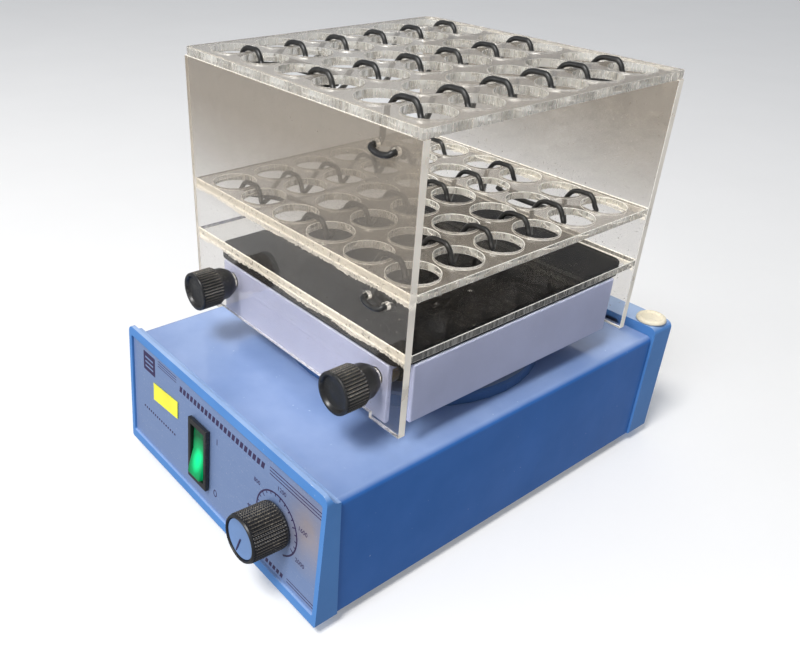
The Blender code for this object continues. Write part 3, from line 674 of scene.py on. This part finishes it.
# ---- housing
bezel_low, bezel_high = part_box("front_bezel")
LEAN = 4.9 * MM
BEZEL_H = bezel_high.z - bezel_low.z
TOP_FRONT_Y = bezel_low.y + LEAN
TILT = atan2(LEAN, BEZEL_H)


def lean(z, behind=0.0):
    """The front face's y at this height, or that far behind it."""
    return TOP_FRONT_Y - LEAN * (1.0 - (z - bezel_low.z) / BEZEL_H) + behind


def in_panel(outline, near, far):
    """An outline in x and z, between two depths behind the leaning front face."""
    return facing(outline, lambda z: lean(z, near), lambda z: lean(z, far))


cover_low, cover_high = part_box("housing_cover")
AXIS = centre("drive_collar")[:2]
bend = 3.0 * MM
sheet_t = 2.0 * MM
COLLAR_HOLE_R = 52.0 * MM
CASE_CORNERS = (1.2 * MM, 1.2 * MM, 3.6 * MM, 3.6 * MM)
shell = sides(cover_low, cover_high, (0, 0, bend, bend), 12)
cover = object_from("cover_shell", facing(shell, cover_low.y, cover_high.y), cover_paint)
hollow = rounded(
    cover_low.x + sheet_t, cover_high.x - sheet_t, cover_low.z - OVER, cover_high.z - sheet_t,
    (0, 0, bend - sheet_t, bend - sheet_t), 6,
)
combine(cover, facing(hollow, cover_low.y - OVER, cover_high.y + OVER))
combine(cover, upright(ring(*AXIS, COLLAR_HOLE_R, 96), cover_high.z - OVER, cover_high.z + OVER))
done(soften(cover, 0.35), "base", "painted_blue", "housing_cover")

foil_low, foil_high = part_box("panel_foil")
recess = sides(foil_low, foil_high, (1.0 * MM,) * 4, 6, grow=0.3 * MM)
outer = sides(bezel_low, bezel_high, CASE_CORNERS)
bezel = object_from("bezel_frame", facing(outer, lean, bezel_high.y), frame_paint)
combine(bezel, in_panel(recess, -OVER, 1.8 * MM))
wall = 2.6 * MM
cover_lap = 1.8 * MM
room = rounded(
    bezel_low.x + wall, bezel_high.x - wall, bezel_low.z + wall, cover_high.z - cover_lap,
    (1.5 * MM,) * 4, 4,
)
combine(bezel, facing(room, lambda z: lean(z, 4.3 * MM), 0.0))
# the rim is a thin lip that runs down in a hollow curve to the cover behind it
LIP, RUN, DROP, SLOPE_STEPS = 2.0 * MM, 4.5 * MM, 4.4 * MM, 8
slope = []
for i in range(SLOPE_STEPS + 1):
    a = radians(90.0 * i / SLOPE_STEPS)
    slope.append((TOP_FRONT_Y + LIP + RUN * (1 - cos(a)), bezel_high.z - DROP * sin(a)))
slope[0] = (slope[0][0], bezel_high.z + 0.2 * MM)
slope.append((bezel_high.y + 1.0 * MM, slope[-1][1]))
far_y, far_z = bezel_high.y + 2 * OVER, bezel_high.z + 2 * OVER
slope += [(far_y, bezel_high.z - OVER), (far_y, far_z), (slope[0][0], far_z)]
ends = (bezel_low.x - OVER, bezel_high.x + OVER)
combine(bezel, prism(*([(x, y, z) for y, z in slope] for x in ends)))

rocker_at = Vector(joints["rocker_tilt"]["pos_m"])
knob_at = Vector(joints["speed_turn"]["pos_m"])
OUT = -Vector(joints["speed_turn"]["axis"])
PIVOT_DEPTH = 3.4 * MM
rocker_mid_z = rocker_at.z + PIVOT_DEPTH * sin(TILT)
SWITCH_HALF = (6.8 * MM, 14.4 * MM)
SHAFT_HOLE_R = 3.6 * MM


def cut_panel_holes(obj):
    """The holes for the switch and the dial's shaft."""
    wide, tall = SWITCH_HALF
    switch_hole = rounded(
        rocker_at.x - wide, rocker_at.x + wide, rocker_mid_z - tall, rocker_mid_z + tall, (0,) * 4
    )
    for outline in (switch_hole, ring(knob_at.x, knob_at.z, SHAFT_HOLE_R, 32)):
        combine(obj, in_panel(outline, -OVER, 2 * OVER))


cut_panel_holes(bezel)
done(soften(bezel, 0.7, 4), "base", "bezel_blue", "front_bezel")

rear_low, rear_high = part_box("rear_frame")
PLUG_X, PLUG_Y, _ = centre("rod_plug_right")
rear_bm = facing(sides(rear_low, rear_high, CASE_CORNERS), rear_low.y, rear_high.y)
rear = object_from("rear_casting", rear_bm, frame_paint)
REAR_WALL, ROOM_X = 3.0 * MM, 58.0 * MM
PLUG_HOLE_R, PLUG_HOLE_FOOT, FUSE_HOLE_R = 5.9 * MM, 22.0 * MM, 6.3 * MM
room = rounded(
    -ROOM_X, ROOM_X, rear_low.z + REAR_WALL, rear_high.z - REAR_WALL, (1.5 * MM,) * 4, 4
)
combine(rear, facing(room, rear_low.y - 2 * OVER, rear_high.y - REAR_WALL))
for side in (-1.0, 1.0):
    rod_hole = ring(side * PLUG_X, PLUG_Y, PLUG_HOLE_R, 48)
    combine(rear, upright(rod_hole, rear_low.z + PLUG_HOLE_FOOT, rear_high.z + OVER))
inlet_low, inlet_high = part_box("mains_inlet")
slack = 0.3 * MM
combine(rear, block(
    (inlet_low.x - slack, 0.0, inlet_low.z - slack),
    (inlet_high.x + slack, 0.2, inlet_high.z + slack),
))
FUSE = centre("fuse_holder")[::2]
combine(rear, facing(ring(*FUSE, FUSE_HOLE_R, 48), rear_high.y - OVER, rear_high.y + OVER))
done(soften(rear, 0.6, 4), "base", "bezel_blue", "rear_frame")

plug_profile = [
    (0.0, 1.3), (4.3, 1.3), (4.8, 1.5), (5.2, 2.0), (5.6, 2.2), (6.2, 2.15), (6.9, 1.7), (7.3, 0.9),
    (7.3, 0.4), (7.2, 0.3), (5.6, 0.3), (5.6, -9.0), (0.0, -9.0),
]
for word, side in (("left", -1.0), ("right", 1.0)):
    at = (side * PLUG_X, PLUG_Y, rear_high.z)
    plug = turned("plug_" + word, plug_profile, at, UPWARD, ivory, 50.0, 96)
    done(plug, "base", "ivory_plastic", "rod_plug_" + word)

foot_profile = [
    (0.0, 9.5), (1.9, 9.5), (1.9, 5.3), (7.8, 5.3), (8.1, 5.1), (8.6, 1.1), (8.4, 0.4), (7.7, 0.05),
    (6.2, 0.0), (5.6, 0.5), (3.4, 0.5), (3.0, 0.9), (0.0, 0.9),
]
for word in ("front_left", "front_right", "rear_left", "rear_right"):
    at = (*centre("foot_" + word)[:2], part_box("foot_" + word)[0].z)
    foot = turned("rubber_foot_" + word, foot_profile, at, UPWARD, foot_rubber, 35.0, 64)
    done(foot, "base", "black_rubber", "foot_" + word)

# ---- back of the housing
inlet_shell = object_from("inlet_shell", block(inlet_low, inlet_high), black_plastic)
rim = 3.1 * MM
socket_depth = 13.0 * MM
cavity = rounded(
    inlet_low.x + rim, inlet_high.x - rim,
    inlet_low.z + rim - 0.4 * MM, inlet_high.z - rim + 0.4 * MM,
    (1.0 * MM, 1.0 * MM, 5.0 * MM, 5.0 * MM), 2,
)
combine(inlet_shell, facing(cavity, inlet_high.y - socket_depth, inlet_high.y + OVER))
done(soften(inlet_shell, 0.5), "base", "black_plastic", "mains_inlet")
inlet_mid = (inlet_low + inlet_high) / 2
for word, dx, dz in (("left", -7.0, -0.9), ("earth", 0.0, 3.1), ("right", 7.0, -0.9)):
    at = (inlet_mid.x + dx * MM, inlet_high.y - socket_depth, inlet_mid.z + dz * MM)
    bm = block_at(at, (-1.0, -1.5, -2.0), (1.0, 9.0, 2.0))
    done(soften(object_from("inlet_blade_" + word, bm, steel), 0.4), "base", "steel")

fuse_profile = [
    (0.0, 5.2), (3.6, 5.2), (3.9, 5.7), (4.7, 5.7), (5.2, 5.2), (5.5, 4.4), (5.9, 1.3), (7.3, 1.2),
    (7.6, 0.9), (7.6, 0.3), (6.0, 0.3), (6.0, -14.0), (0.0, -14.0),
]
at = (FUSE[0], rear_high.y, FUSE[1])
spin = (96, 16, 0.35 * MM, (4, 5, 6))
fuse = turned("fuse_cap", fuse_profile, at, BACKWARD, black_plastic, 35.0, *spin)
combine(fuse, block_at(at, (-3.4, 4.2, -0.5), (3.4, 8.0, 0.5)))
done(fuse, "base", "black_plastic", "fuse_holder")
head = [(0.0, 1.9), (1.2, 1.85), (2.0, 1.6), (2.6, 1.1), (2.9, 0.6), (2.9, 0.3), (0.0, 0.3)]
for word in ("left", "right"):
    x, _, z = centre("rear_screw_" + word)
    at = (x, rear_high.y, z)
    screw = turned("casing_screw_" + word, head, at, BACKWARD, steel, 50.0, 48)
    for wide, tall in ((2.6, 0.45), (0.45, 2.6)):
        combine(screw, block_at(at, (-wide / 2, 1.1, -tall / 2), (wide / 2, 3.0, tall / 2)))
    done(screw, "base", "steel", "rear_screw_" + word)

# ---- front panel
sheet_outline = sides(foil_low, foil_high, (0.8 * MM,) * 4, 6)
FOIL_BEHIND = 1.0 * MM
panel = object_from("panel_sheet", in_panel(sheet_outline, FOIL_BEHIND, 1.5 * MM), foil)
cut_panel_holes(panel)
done(soften(panel, 0.1, 2), "base", "panel_foil", "panel_foil")

# Marks lie on the foil: u to the right of the middle, v up from the housing's lower edge, in mm.
MARK_T = 0.06


def over_panel(out, at):
    """Takes u, v and the height over the leaning panel to the world's x, y and z."""
    return Matrix((
        (1.0, 0.0, out[0], at[0]),
        (0.0, sin(TILT), out[1], at[1]),
        (0.0, cos(TILT), out[2], at[2]),
        (0.0, 0.0, 0.0, 1.0),
    ))


foil_foot = (0.0, TOP_FRONT_Y - LEAN + FOIL_BEHIND, bezel_low.z)
on_foil = over_panel((0.0, -cos(TILT), sin(TILT)), foil_foot)


def flat_marks(name, outlines, look, lift=-0.02):
    """Flat shapes a hair proud of the foil, from outlines in u and v."""
    bm = bmesh.new()
    for outline in outlines:
        upright(in_mm(outline), lift * MM, (lift + MARK_T) * MM, bm)
    return object_from(name, moved(bm, on_foil), look)


def stroke(u0, v0, u1, v1, width):
    """A straight line with square ends."""
    along = Vector((u1 - u0, v1 - v0)).normalized()
    side = Vector((-along.y, along.x)) * width / 2
    return [
        (u0 - side.x, v0 - side.y), (u1 - side.x, v1 - side.y),
        (u1 + side.x, v1 + side.y), (u0 + side.x, v0 + side.y),
    ]


DIAL = (knob_at.x / MM, (knob_at.z - bezel_low.z) / MM / cos(TILT))
DIAL_START, DIAL_SWEEP = 199.0, 280.0


def dial_point(share, r):
    a = radians(DIAL_START + DIAL_SWEEP * share)
    return DIAL[0] + r * sin(a), DIAL[1] + r * cos(a)


def slanted_row(u0, u1, v, height, width, gap):
    """A plain row of slanted bars where the panel has a printed heading."""
    count = int((u1 - u0) / (width + gap))
    starts = [u0 + k * (u1 - u0) / count for k in range(count)]
    slant, top = height * 0.22, v + height
    return [[(u, v), (u + width, v), (u + width + slant, top), (u + slant, top)] for u in starts]


marks = []
edge_u = foil_high.x / MM - 0.6
for line in range(3):
    marks.append(stroke(41.6, 55.8 - 1.55 * line, edge_u, 55.8 - 1.55 * line, 0.42))
    marks.append(stroke(-51.0, 57.6 - 1.3 * line, -33.5, 57.6 - 1.3 * line, 0.32))
marks += slanted_row(-30.6, 38.5, 52.0, 3.1, 2.1, 1.0)
marks += slanted_row(34.0, 55.0, 6.6, 2.3, 1.7, 0.9)
for v in (8.9, 7.3):
    marks.append(stroke(57.2, v, edge_u, v, 0.42))
marks += slanted_row(-66.0, -34.0, 24.6, 1.1, 1.1, 1.0)
DIAL_R = 14.0
TICKS = 20
for i in range(TICKS + 1):
    length = 2.2 if i % 4 == 0 else 1.4
    inner, outer = (dial_point(i / TICKS, r) for r in (DIAL_R - length, DIAL_R))
    marks.append(stroke(*inner, *outer, 0.5))
arc_steps = 72
RING_END = 1.13
for i in range(arc_steps):
    start = RING_END * i / arc_steps
    end = start + 1.06 * RING_END / arc_steps
    marks.append(stroke(*dial_point(start, DIAL_R), *dial_point(end, DIAL_R), 0.8))
marks.append(stroke(2.2, 41.9, 2.2, 45.0, 0.55))
RING_STEPS = 24
for i in range(RING_STEPS):
    a, b = (2 * pi * k / RING_STEPS for k in (i, i + 1.1))
    marks.append(stroke(
        1.4 + 1.15 * cos(a), 14.8 + 1.7 * sin(a),
        1.4 + 1.15 * cos(b), 14.8 + 1.7 * sin(b), 0.5,
    ))
done(flat_marks("panel_marks", marks, print_ink), "base", "black_plastic")
emblem = [rounded(-65.4, -54.0, 46.9, 57.0, (0.5,) * 4, 4)]
done(flat_marks("panel_block", emblem, print_ink), "base", "black_plastic")
wave = [stroke(-63.6, 49.4 + 2.4 * k, -55.8, 49.4 + 2.4 * k, 0.9) for k in range(3)]
done(flat_marks("panel_block_bars", wave, foil, 0.05), "base", "panel_foil")


def numeral(name, text, u, v):
    """A generic number printed on the foil."""
    data = bpy.data.curves.new(name, "FONT")
    data.body = text
    data.size = 3.0 * MM
    data.extrude = MARK_T / 2 * MM
    data.align_x = data.align_y = "CENTER"
    data.resolution_u = 3
    text_object = in_scene(name, data)
    bpy.context.view_layer.update()
    mesh = mesh_of(text_object)
    mesh.transform(on_foil @ Matrix.Translation((u * MM, v * MM, MARK_T / 2 * MM)))
    mesh.materials.clear()
    mesh.materials.append(print_ink)
    made = in_scene(name, mesh)
    bpy.data.curves.remove(data)
    return made


NUMERAL_R, NUMBER_STEP, NUMBER_GAPS = 17.6, 400, 5
for i in range(NUMBER_GAPS + 1):
    u, v = dial_point(i / NUMBER_GAPS, NUMERAL_R if i else NUMERAL_R - 0.6)
    aside = 1.6 * sin(radians(DIAL_START + DIAL_SWEEP * i / NUMBER_GAPS))
    number = numeral("dial_number_" + str(i), str(NUMBER_STEP * i), u + aside, v)
    done(number, "base", "black_plastic")

label_box = [Vector(uv) for uv in ((-55.1, 34.2), (-31.9, 36.0), (-31.9, 45.3), (-55.1, 43.6))]
bm = bmesh.new()
ACROSS, ALONG = 24, 12
grid = {}
for side, i, j in product((0, 1), range(ACROSS + 1), range(ALONG + 1)):
    s, t = i / ACROSS, j / ALONG
    low_point = label_box[0].lerp(label_box[1], s)
    high_point = label_box[3].lerp(label_box[2], s)
    u, v = low_point.lerp(high_point, t)
    rim = 1.0 - min(s, 1.0 - s, t, 1.0 - t) * 2
    curl = 0.22 + 0.09 * rim ** 6 + 0.05 * noise.noise(Vector((u * 0.3, v * 0.35, 2.0)))
    spot = Vector((u * MM, v / cos(TILT) * MM, (curl + 0.1 * side) * MM))
    grid[side, i, j] = bm.verts.new(on_foil @ spot)
faces = [
    ((side, i, j), (side, i + 1, j), (side, i + 1, j + 1), (side, i, j + 1))
    for side, i, j in product((0, 1), range(ACROSS), range(ALONG))
]
for i in range(ACROSS):
    faces += [((0, i, j), (0, i + 1, j), (1, i + 1, j), (1, i, j)) for j in (0, ALONG)]
for j in range(ALONG):
    faces += [((0, i, j), (0, i, j + 1), (1, i, j + 1), (1, i, j)) for i in (0, ACROSS)]
for corners in faces:
    bm.faces.new([grid[corner] for corner in corners])
label = smooth(object_from("label_sheet", bm, label_paper), 50.0)
done(label, "base", "label_yellow", "panel_label")

# ---- switch and knob
panel_turn = Matrix.Rotation(-TILT, 4, "X")
switch_frame = Matrix.Translation((rocker_at.x, lean(rocker_mid_z), rocker_mid_z)) @ panel_turn


def in_switch(low, high):
    return moved(block_at((0.0, 0.0, 0.0), low, high), switch_frame)


flange = in_switch((-7.8, -1.4, -16.4), (7.8, 0.7, 16.4))
switch = object_from("switch_frame", flange, black_plastic)
combine(switch, in_switch((-6.4, 0.2, -14.0), (6.4, 22.0, 14.0)), "UNION")
combine(switch, in_switch((-5.6, -6.0, -13.4), (5.6, 9.5, 13.4)))
done(soften(switch, 0.45, 3), "base", "black_plastic", "switch_housing")

KNOB_R = 10.5
PRESS = 8.0
pressed = Matrix.Rotation(radians(-PRESS), 4, "X")
key_turn = Matrix.Translation(rocker_at) @ panel_turn @ pressed
# side outline of the key as (y, z), each half slightly hollow
KEY_HALF, KEY_STEPS = 12.6, 16
heights = [KEY_HALF - KEY_HALF * i / (KEY_STEPS / 2) for i in range(KEY_STEPS + 1)]
arc = [(-4.9 + 1.3 * (1 - abs(z) / KEY_HALF) ** 1.25, z) for z in heights]
key_side = arc + [(1.5, -12.0), (4.2, -5.0), (4.2, 5.0), (1.5, 12.0)]
bm = moved(prism(*(in_mm((x, y, z) for y, z in key_side) for x in (-5.1, 5.1))), key_turn)
rocker_green = lit_rocker_look(rocker_at + Vector((0.0006, -0.003, -0.0035)))
key = soften(object_from("rocker_key", bm, rocker_green), 0.5, 3, 50.0)
done(key, "rocker", "lit_green", "rocker")

GROOVE = 0.25
knob_top = [
    (0.0, 15.2), (8.9, 15.2), (8.95, 16.6), (9.1, 16.9), (9.5, 17.0), (9.9, 16.8), (10.2, 16.2),
]
knob_side = knurled(1.0, 15.6, KNOB_R, 13, GROOVE)
knob_foot = [(10.35, 0.4), (10.1, -0.2), (9.9, -0.4), (3.2, -0.4), (3.2, 11.6), (0.0, 11.6)]
KNOB_RIBS = 44
worn_and_highlit = (1.5, 15.3, KNOB_R - 0.2)
knob = grip("knob_grip", knob_top, knob_side, knob_foot, knob_at, OUT, KNOB_RIBS, 0.6, worn_and_highlit)
done(knob, "knob", "black_plastic", "speed_knob")
cap_profile = [
    (0.0, 15.9), (5.5, 15.95), (7.6, 16.1), (8.1, 16.25),
    (8.5, 16.25), (8.6, 16.1), (8.6, 15.7), (0.0, 15.7),
]
cap = turned("knob_cap_disc", cap_profile, knob_at, OUT, cap_foil, 30.0, 96)
done(cap, "knob", "cap_silver_blue", "knob_cap")
pointer_turn = radians(DIAL_START)
tip = Vector((sin(pointer_turn), cos(pointer_turn)))
line = stroke(tip.x * 0.4, tip.y * 0.4, tip.x * 7.9, tip.y * 7.9, 0.62)
bm = moved(upright(in_mm(line), 15.85 * MM, 16.3 * MM), over_panel(OUT, knob_at))
done(object_from("knob_pointer", bm, print_ink), "knob", "black_plastic")

# ---- platform
tray_low, tray_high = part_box("platform")
TRAY_T = 2.5 * MM
NOTCH = (5.5 * MM, 6.5 * MM)
tray = object_from("platform_tray", block(tray_low, tray_high), tray_paint)
combine(tray, block(
    (tray_low.x + TRAY_T, tray_low.y + TRAY_T, tray_low.z - OVER),
    (tray_high.x - TRAY_T, tray_high.y - TRAY_T, tray_high.z - TRAY_T),
))
for x, y in product((tray_low.x, tray_high.x), (tray_low.y, tray_high.y)):
    combine(tray, block(
        (x - NOTCH[0], y - NOTCH[1], tray_low.z - OVER),
        (x + NOTCH[0], y + NOTCH[1], tray_high.z + OVER),
    ))
screw_at = {
    word: Vector(joints["thumbscrew_" + word + "_turn"]["pos_m"]) for word in ("left", "right")
}
STUD_HOLE_R, STUD_HOLE_END = 3.5 * MM, 0.0091


def stud_hole(at):
    return facing(ring(at.x, at.z, STUD_HOLE_R, 32), at.y - OVER, at.y + STUD_HOLE_END)


for at in screw_at.values():
    combine(tray, stud_hole(at))
done(soften(tray, 0.8, 4), "platform", "platform_grey", "platform")

mat_low, mat_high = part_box("platform_mat")
mat_outline = sides(mat_low, mat_high, (6.0 * MM,) * 4, 12, axis=1)
mat = object_from("mat_sheet", upright(mat_outline, mat_low.z, mat_high.z), rubber_mat)
done(soften(mat, 0.6, 3), "platform", "black_rubber", "platform_mat")

# ---- rack
top_low, top_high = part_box("rack_top_plate")
middle_low, middle_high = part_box("rack_middle_plate")
bottom_low, bottom_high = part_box("rack_bottom_plate")
front_low, front_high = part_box("rack_front_plate")
back_low, back_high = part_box("rack_back_plate")
PITCH_X, PITCH_Y, HOLE_R = 23.7 * MM, 22.9 * MM, 9.75 * MM
RACK_MID_Y = centre("rack_top_plate")[1]
rows = [RACK_MID_Y + (i - 2.5) * PITCH_Y for i in range(6)]
columns = [(2.5 - i) * PITCH_X for i in range(6)]


def edge_looks(obj, flat_axis, side_axis=None):
    """Faces along the sheet's thin direction stay clear; walls look sawn, the fine chamfers carry a
    painted highlight, and walls that face along side_axis are milky, with a painted glow."""
    for look in (sawn, arris_painted_highlight, milky_edge):
        obj.data.materials.append(look)
    for face in obj.data.polygons:
        flat = abs(face.normal[flat_axis])
        to_side = side_axis is not None and abs(face.normal[side_axis]) > 0.9
        face.material_index = 0 if flat > 0.98 else 2 if flat > 0.05 else 3 if to_side else 1
    return obj


def finished(sheet, node, *axes):
    """Eases a sheet's edges, gives them their looks and puts it on the platform."""
    settle(soften(sheet, 0.25, 2))
    return done(edge_looks(sheet, *axes), "platform", "acrylic", node)


top_outline = sides(top_low, top_high, (3.0 * MM, 1.0 * MM, 2.0 * MM, 5.0 * MM), 12, axis=1)
for word, outline, z0, z1, look in (
    ("top", top_outline, top_low.z, top_high.z, top_clear),
    ("middle", sides(middle_low, middle_high, axis=1), middle_low.z, middle_high.z, middle_clear),
):
    sheet = object_from("rack_" + word + "_sheet", upright(outline, z0, z1), look)
    holes = bmesh.new()
    for x, y in product(columns, rows):
        upright(ring(x, y, HOLE_R, 72), z0 - OVER, z1 + OVER, holes)
    finished(combine(sheet, holes), "rack_" + word + "_plate", 2)
bottom_sheet = object_from("rack_bottom_sheet", block(bottom_low, bottom_high), bottom_clear)
finished(bottom_sheet, "rack_bottom_plate", 2)

CORD_ANCHOR_X = (50.6 * MM, 61.0 * MM)
ANCHOR_DROP = {"top": 10.6 * MM, "middle": 8.8 * MM}
TOPS = {"top": top_high.z, "middle": middle_high.z}
front_sheet = object_from("rack_front_sheet", block(front_low, front_high), front_clear)
combine(front_sheet, block((-56.5 * MM, front_low.y - OVER, front_low.z - OVER),
                           (56.2 * MM, front_high.y + OVER, front_low.z + 2.4 * MM)))
for at in screw_at.values():
    combine(front_sheet, stud_hole(at))
for word, x in product(("top", "middle"), CORD_ANCHOR_X):
    hole = ring(x, TOPS[word] - ANCHOR_DROP[word], 1.6 * MM, 24)
    combine(front_sheet, facing(hole, front_low.y - OVER, front_high.y + OVER))
finished(front_sheet, "rack_front_plate", 1, 0)
back_sheet = object_from("rack_back_sheet", block(back_low, back_high), back_clear)
finished(back_sheet, "rack_back_plate", 1, 0)

# ---- cement in the joints
def bead(name, y0, y1, plate_low, plate_high, ragged, seed):
    """Acrylic cement where a level sheet meets an upright one: a thin film over the edge between
    two bright lines, and a speckled band of squeezed-out cement below."""
    steps = 520
    for part, look in (("film", thin_cement), ("lines", cement), ("fringe", frosty_cement)):
        bm = bmesh.new()
        rows_of = {}
        for i in range(steps + 1):
            x = middle_low.x + 0.0004 + (middle_high.x - middle_low.x - 0.0008) * i / steps
            rough = noise.noise(Vector((x * 1700.0, seed, 0.3)))
            slow = noise.noise(Vector((x * 60.0, seed, 5.1)))
            top = plate_high + (0.25 + 0.12 * rough) * MM
            low = plate_low - (0.45 + 0.25 * slow + 0.2 * rough) * MM
            upper = plate_high - (0.35 + 0.1 * slow) * MM
            lower = plate_low + (0.3 + 0.15 * slow) * MM
            foot = low - ragged * (0.7 + 0.45 * slow + 0.25 * rough) * MM
            spans = {
                "film": [(plate_high - 0.2 * MM, plate_low + 0.1 * MM)],
                "lines": [(top, upper), (lower, low)],
                "fringe": [(low - 0.02 * MM, foot)],
            }[part]
            for k, (high_z, low_z) in enumerate(spans):
                section = ((x, y0, high_z), (x, y1, high_z), (x, y1, low_z), (x, y0, low_z))
                rows_of.setdefault(k, []).append([bm.verts.new(point) for point in section])
        for row in rows_of.values():
            for one, two in zip(row, row[1:]):
                bridge(bm, one, two)
            bm.faces.new(row[0])
            bm.faces.new(row[-1][::-1])
        done(object_from(name + "_" + part, bm, look), "platform", "acrylic")


JOINT = 0.03 * MM
for seed, (word, low, high, ragged) in enumerate((
    ("middle", middle_low, middle_high, 2.3),
    ("bottom", bottom_low, bottom_high, 2.0),
), start=1):
    in_front = (front_high.y + JOINT, middle_low.y - JOINT)
    behind = (middle_high.y + JOINT, back_low.y - JOINT)
    bead("cement_front_" + word, *in_front, low.z, high.z, ragged, seed + 0.5)
    bead("cement_back_" + word, *behind, low.z, high.z, ragged, seed + 7.5)
for word, low, high in (("front", front_low, front_high), ("back", back_low, back_high)):
    bm = block(
        (low.x + 0.5 * MM, low.y + 0.2 * MM, high.z + JOINT),
        (high.x - 5.2 * MM, high.y - 0.2 * MM, top_low.z - JOINT),
    )
    done(object_from("cement_top_" + word, bm, cement), "platform", "acrylic")

# ---- thumbscrews
screw_top = [
    (0.0, 17.9), (3.0, 17.85), (6.2, 17.75), (6.8, 18.0), (7.2, 18.9), (7.6, 19.35), (8.2, 19.4),
    (8.7, 19.25), (8.9, 18.8),
]
screw_side = knurled(8.7, 18.4, 8.95, 11, GROOVE)
screw_foot = [
    (8.5, 8.3), (7.9, 8.0), (7.6, 7.5), (7.35, 4.0), (6.2, 1.4), (5.4, 0.3), (3.0, 0.3),
    (3.0, -12.0), (2.4, -12.6), (0.0, -12.6),
]
SCREW_RIBS = 40
for word, at in screw_at.items():
    head = grip(
        "clamp_screw_" + word, screw_top, screw_side, screw_foot,
        at, FORWARD, SCREW_RIBS, 0.55, (8.9, 18.1, 8.75),
    )
    done(head, "thumbscrew_" + word, "black_plastic", "thumbscrew_" + word)

# ---- lacing cords
CORD_R = 1.1 * MM
HALF_SPAN = 7.2 * MM
RISE = 0.2 * MM
ARCH_Y = 2.0 * MM
webs = [2.0 * PITCH_X, 0.0, -2.0 * PITCH_X]


def lacing(word):
    """The cord's centre line: in through the front plate, over each web line in turn and under
    the plate between the arches."""
    top_z = TOPS[word]
    plate = top_high.z - top_low.z
    low = top_z - plate - CORD_R - 0.7 * MM
    crest = top_z + CORD_R + RISE
    anchor_z = top_z - ANCHOR_DROP[word]
    one, two = CORD_ANCHOR_X
    near, far = front_low.y, front_high.y
    # the knot end, from behind the front plate out through one hole and back in by the other
    path = [(x + dx * MM, y + dy * MM, anchor_z + dz * MM) for x, dx, y, dy, dz in (
        (two, -0.8, far, 3.4, -2.6),
        (two, 0.0, far, 1.8, -0.6),
        (two, 0.0, far, 0.0, 0.0),
        (two, 0.0, near, -0.6, 0.0),
        (two, -0.8, near, -1.8, -0.7),
        ((one + two) / 2, 0.0, near, -2.0, -1.5),
        (one, 0.8, near, -1.8, -0.5),
        (one, 0.0, near, -0.6, 0.0),
        (one, 0.0, far, 0.0, 0.0),
        (one, -0.6, far, 2.2, 0.8),
    )]
    # each arch climbs gently on the left, drops steeply on the right and ends in a flare
    arch = (
        (-9.6, -0.5, low, 0.2), (-8.4, -0.3, top_z, -2.4), (-6.4, -0.1, top_z, 0.1),
        (-3.6, 0.0, crest, -0.1), (-0.4, 0.2, crest, 0.0), (3.0, 0.1, crest, -0.1),
        (5.2, 0.0, top_z, -0.7), (6.2, -0.1, top_z, -2.7), (7.6, -0.4, low, 0.2),
    )
    for index, web in enumerate(webs):
        way = 1 if index % 2 == 0 else -1
        order = rows[::way]
        if index > 0:
            between = (order[0] + order[1]) / 2
            path.append((webs[index - 1] - 3.0 * MM, between, low))
            path.append((web + 8.6 * MM, between, low))
        for row in order:
            y = row + ARCH_Y
            path += [(web + dx * MM, y + dy * MM, z + dz * MM) for dx, dy, z, dz in arch[::way]]
    path.append((webs[-1] + HALF_SPAN + 1.5 * MM, rows[-1] - 7.0 * MM, low - 1.5 * MM))
    return [Vector(point) for point in path]


for word in ("top", "middle"):
    data = bpy.data.curves.new(word + "_lacing", "CURVE")
    data.dimensions = "3D"
    data.bevel_depth = CORD_R
    data.bevel_resolution = 3
    data.use_fill_caps = True
    line = through(lacing(word), 5)
    spline = data.splines.new("POLY")
    spline.points.add(len(line) - 1)
    for target, point in zip(spline.points, line):
        target.co = (*point, 1.0)
    data.materials.append(cord_rubber)
    done(in_scene(word + "_lacing", data), "platform", "cord_rubber", word + "_cord")

# ---- pieces kept from the frame
kept = {
    zinc: ("base_plate", "motor_bracket"),
    cast: ("bearing_housing", "idler_post_front", "idler_post_rear", "platform_hub"),
    steel: (
        "lower_bearing", "upper_bearing", "pin_bearing", "drive_crank", "idler_crank_front",
        "idler_crank_rear", "motor_rotor",
    ),
    brass: (
        "counterweight", "idler_bush_front", "idler_bush_rear", "clamp_nut_left", "clamp_nut_right",
        "pot_shaft",
    ),
    iron: ("motor", "transformer_core", "pot_body"),
    board: ("control_board",),
    coil_tape: ("transformer_coil",),
    dark_well: ("driven_pulley",),
    belt_rubber: ("drive_belt",),
    shaded_collar_paint: ("drive_collar",),
}
for look, names in kept.items():
    for name in names:
        node = frame["nodes"][name]
        node.data.materials.clear()
        node.data.materials.append(look)
        smooth(soften(node, 0.25, 2, 38.0), 38.0)

for piece in (cover, bezel, rear, tray, frame["nodes"]["drive_collar"]):
    painted.objects.link(piece)
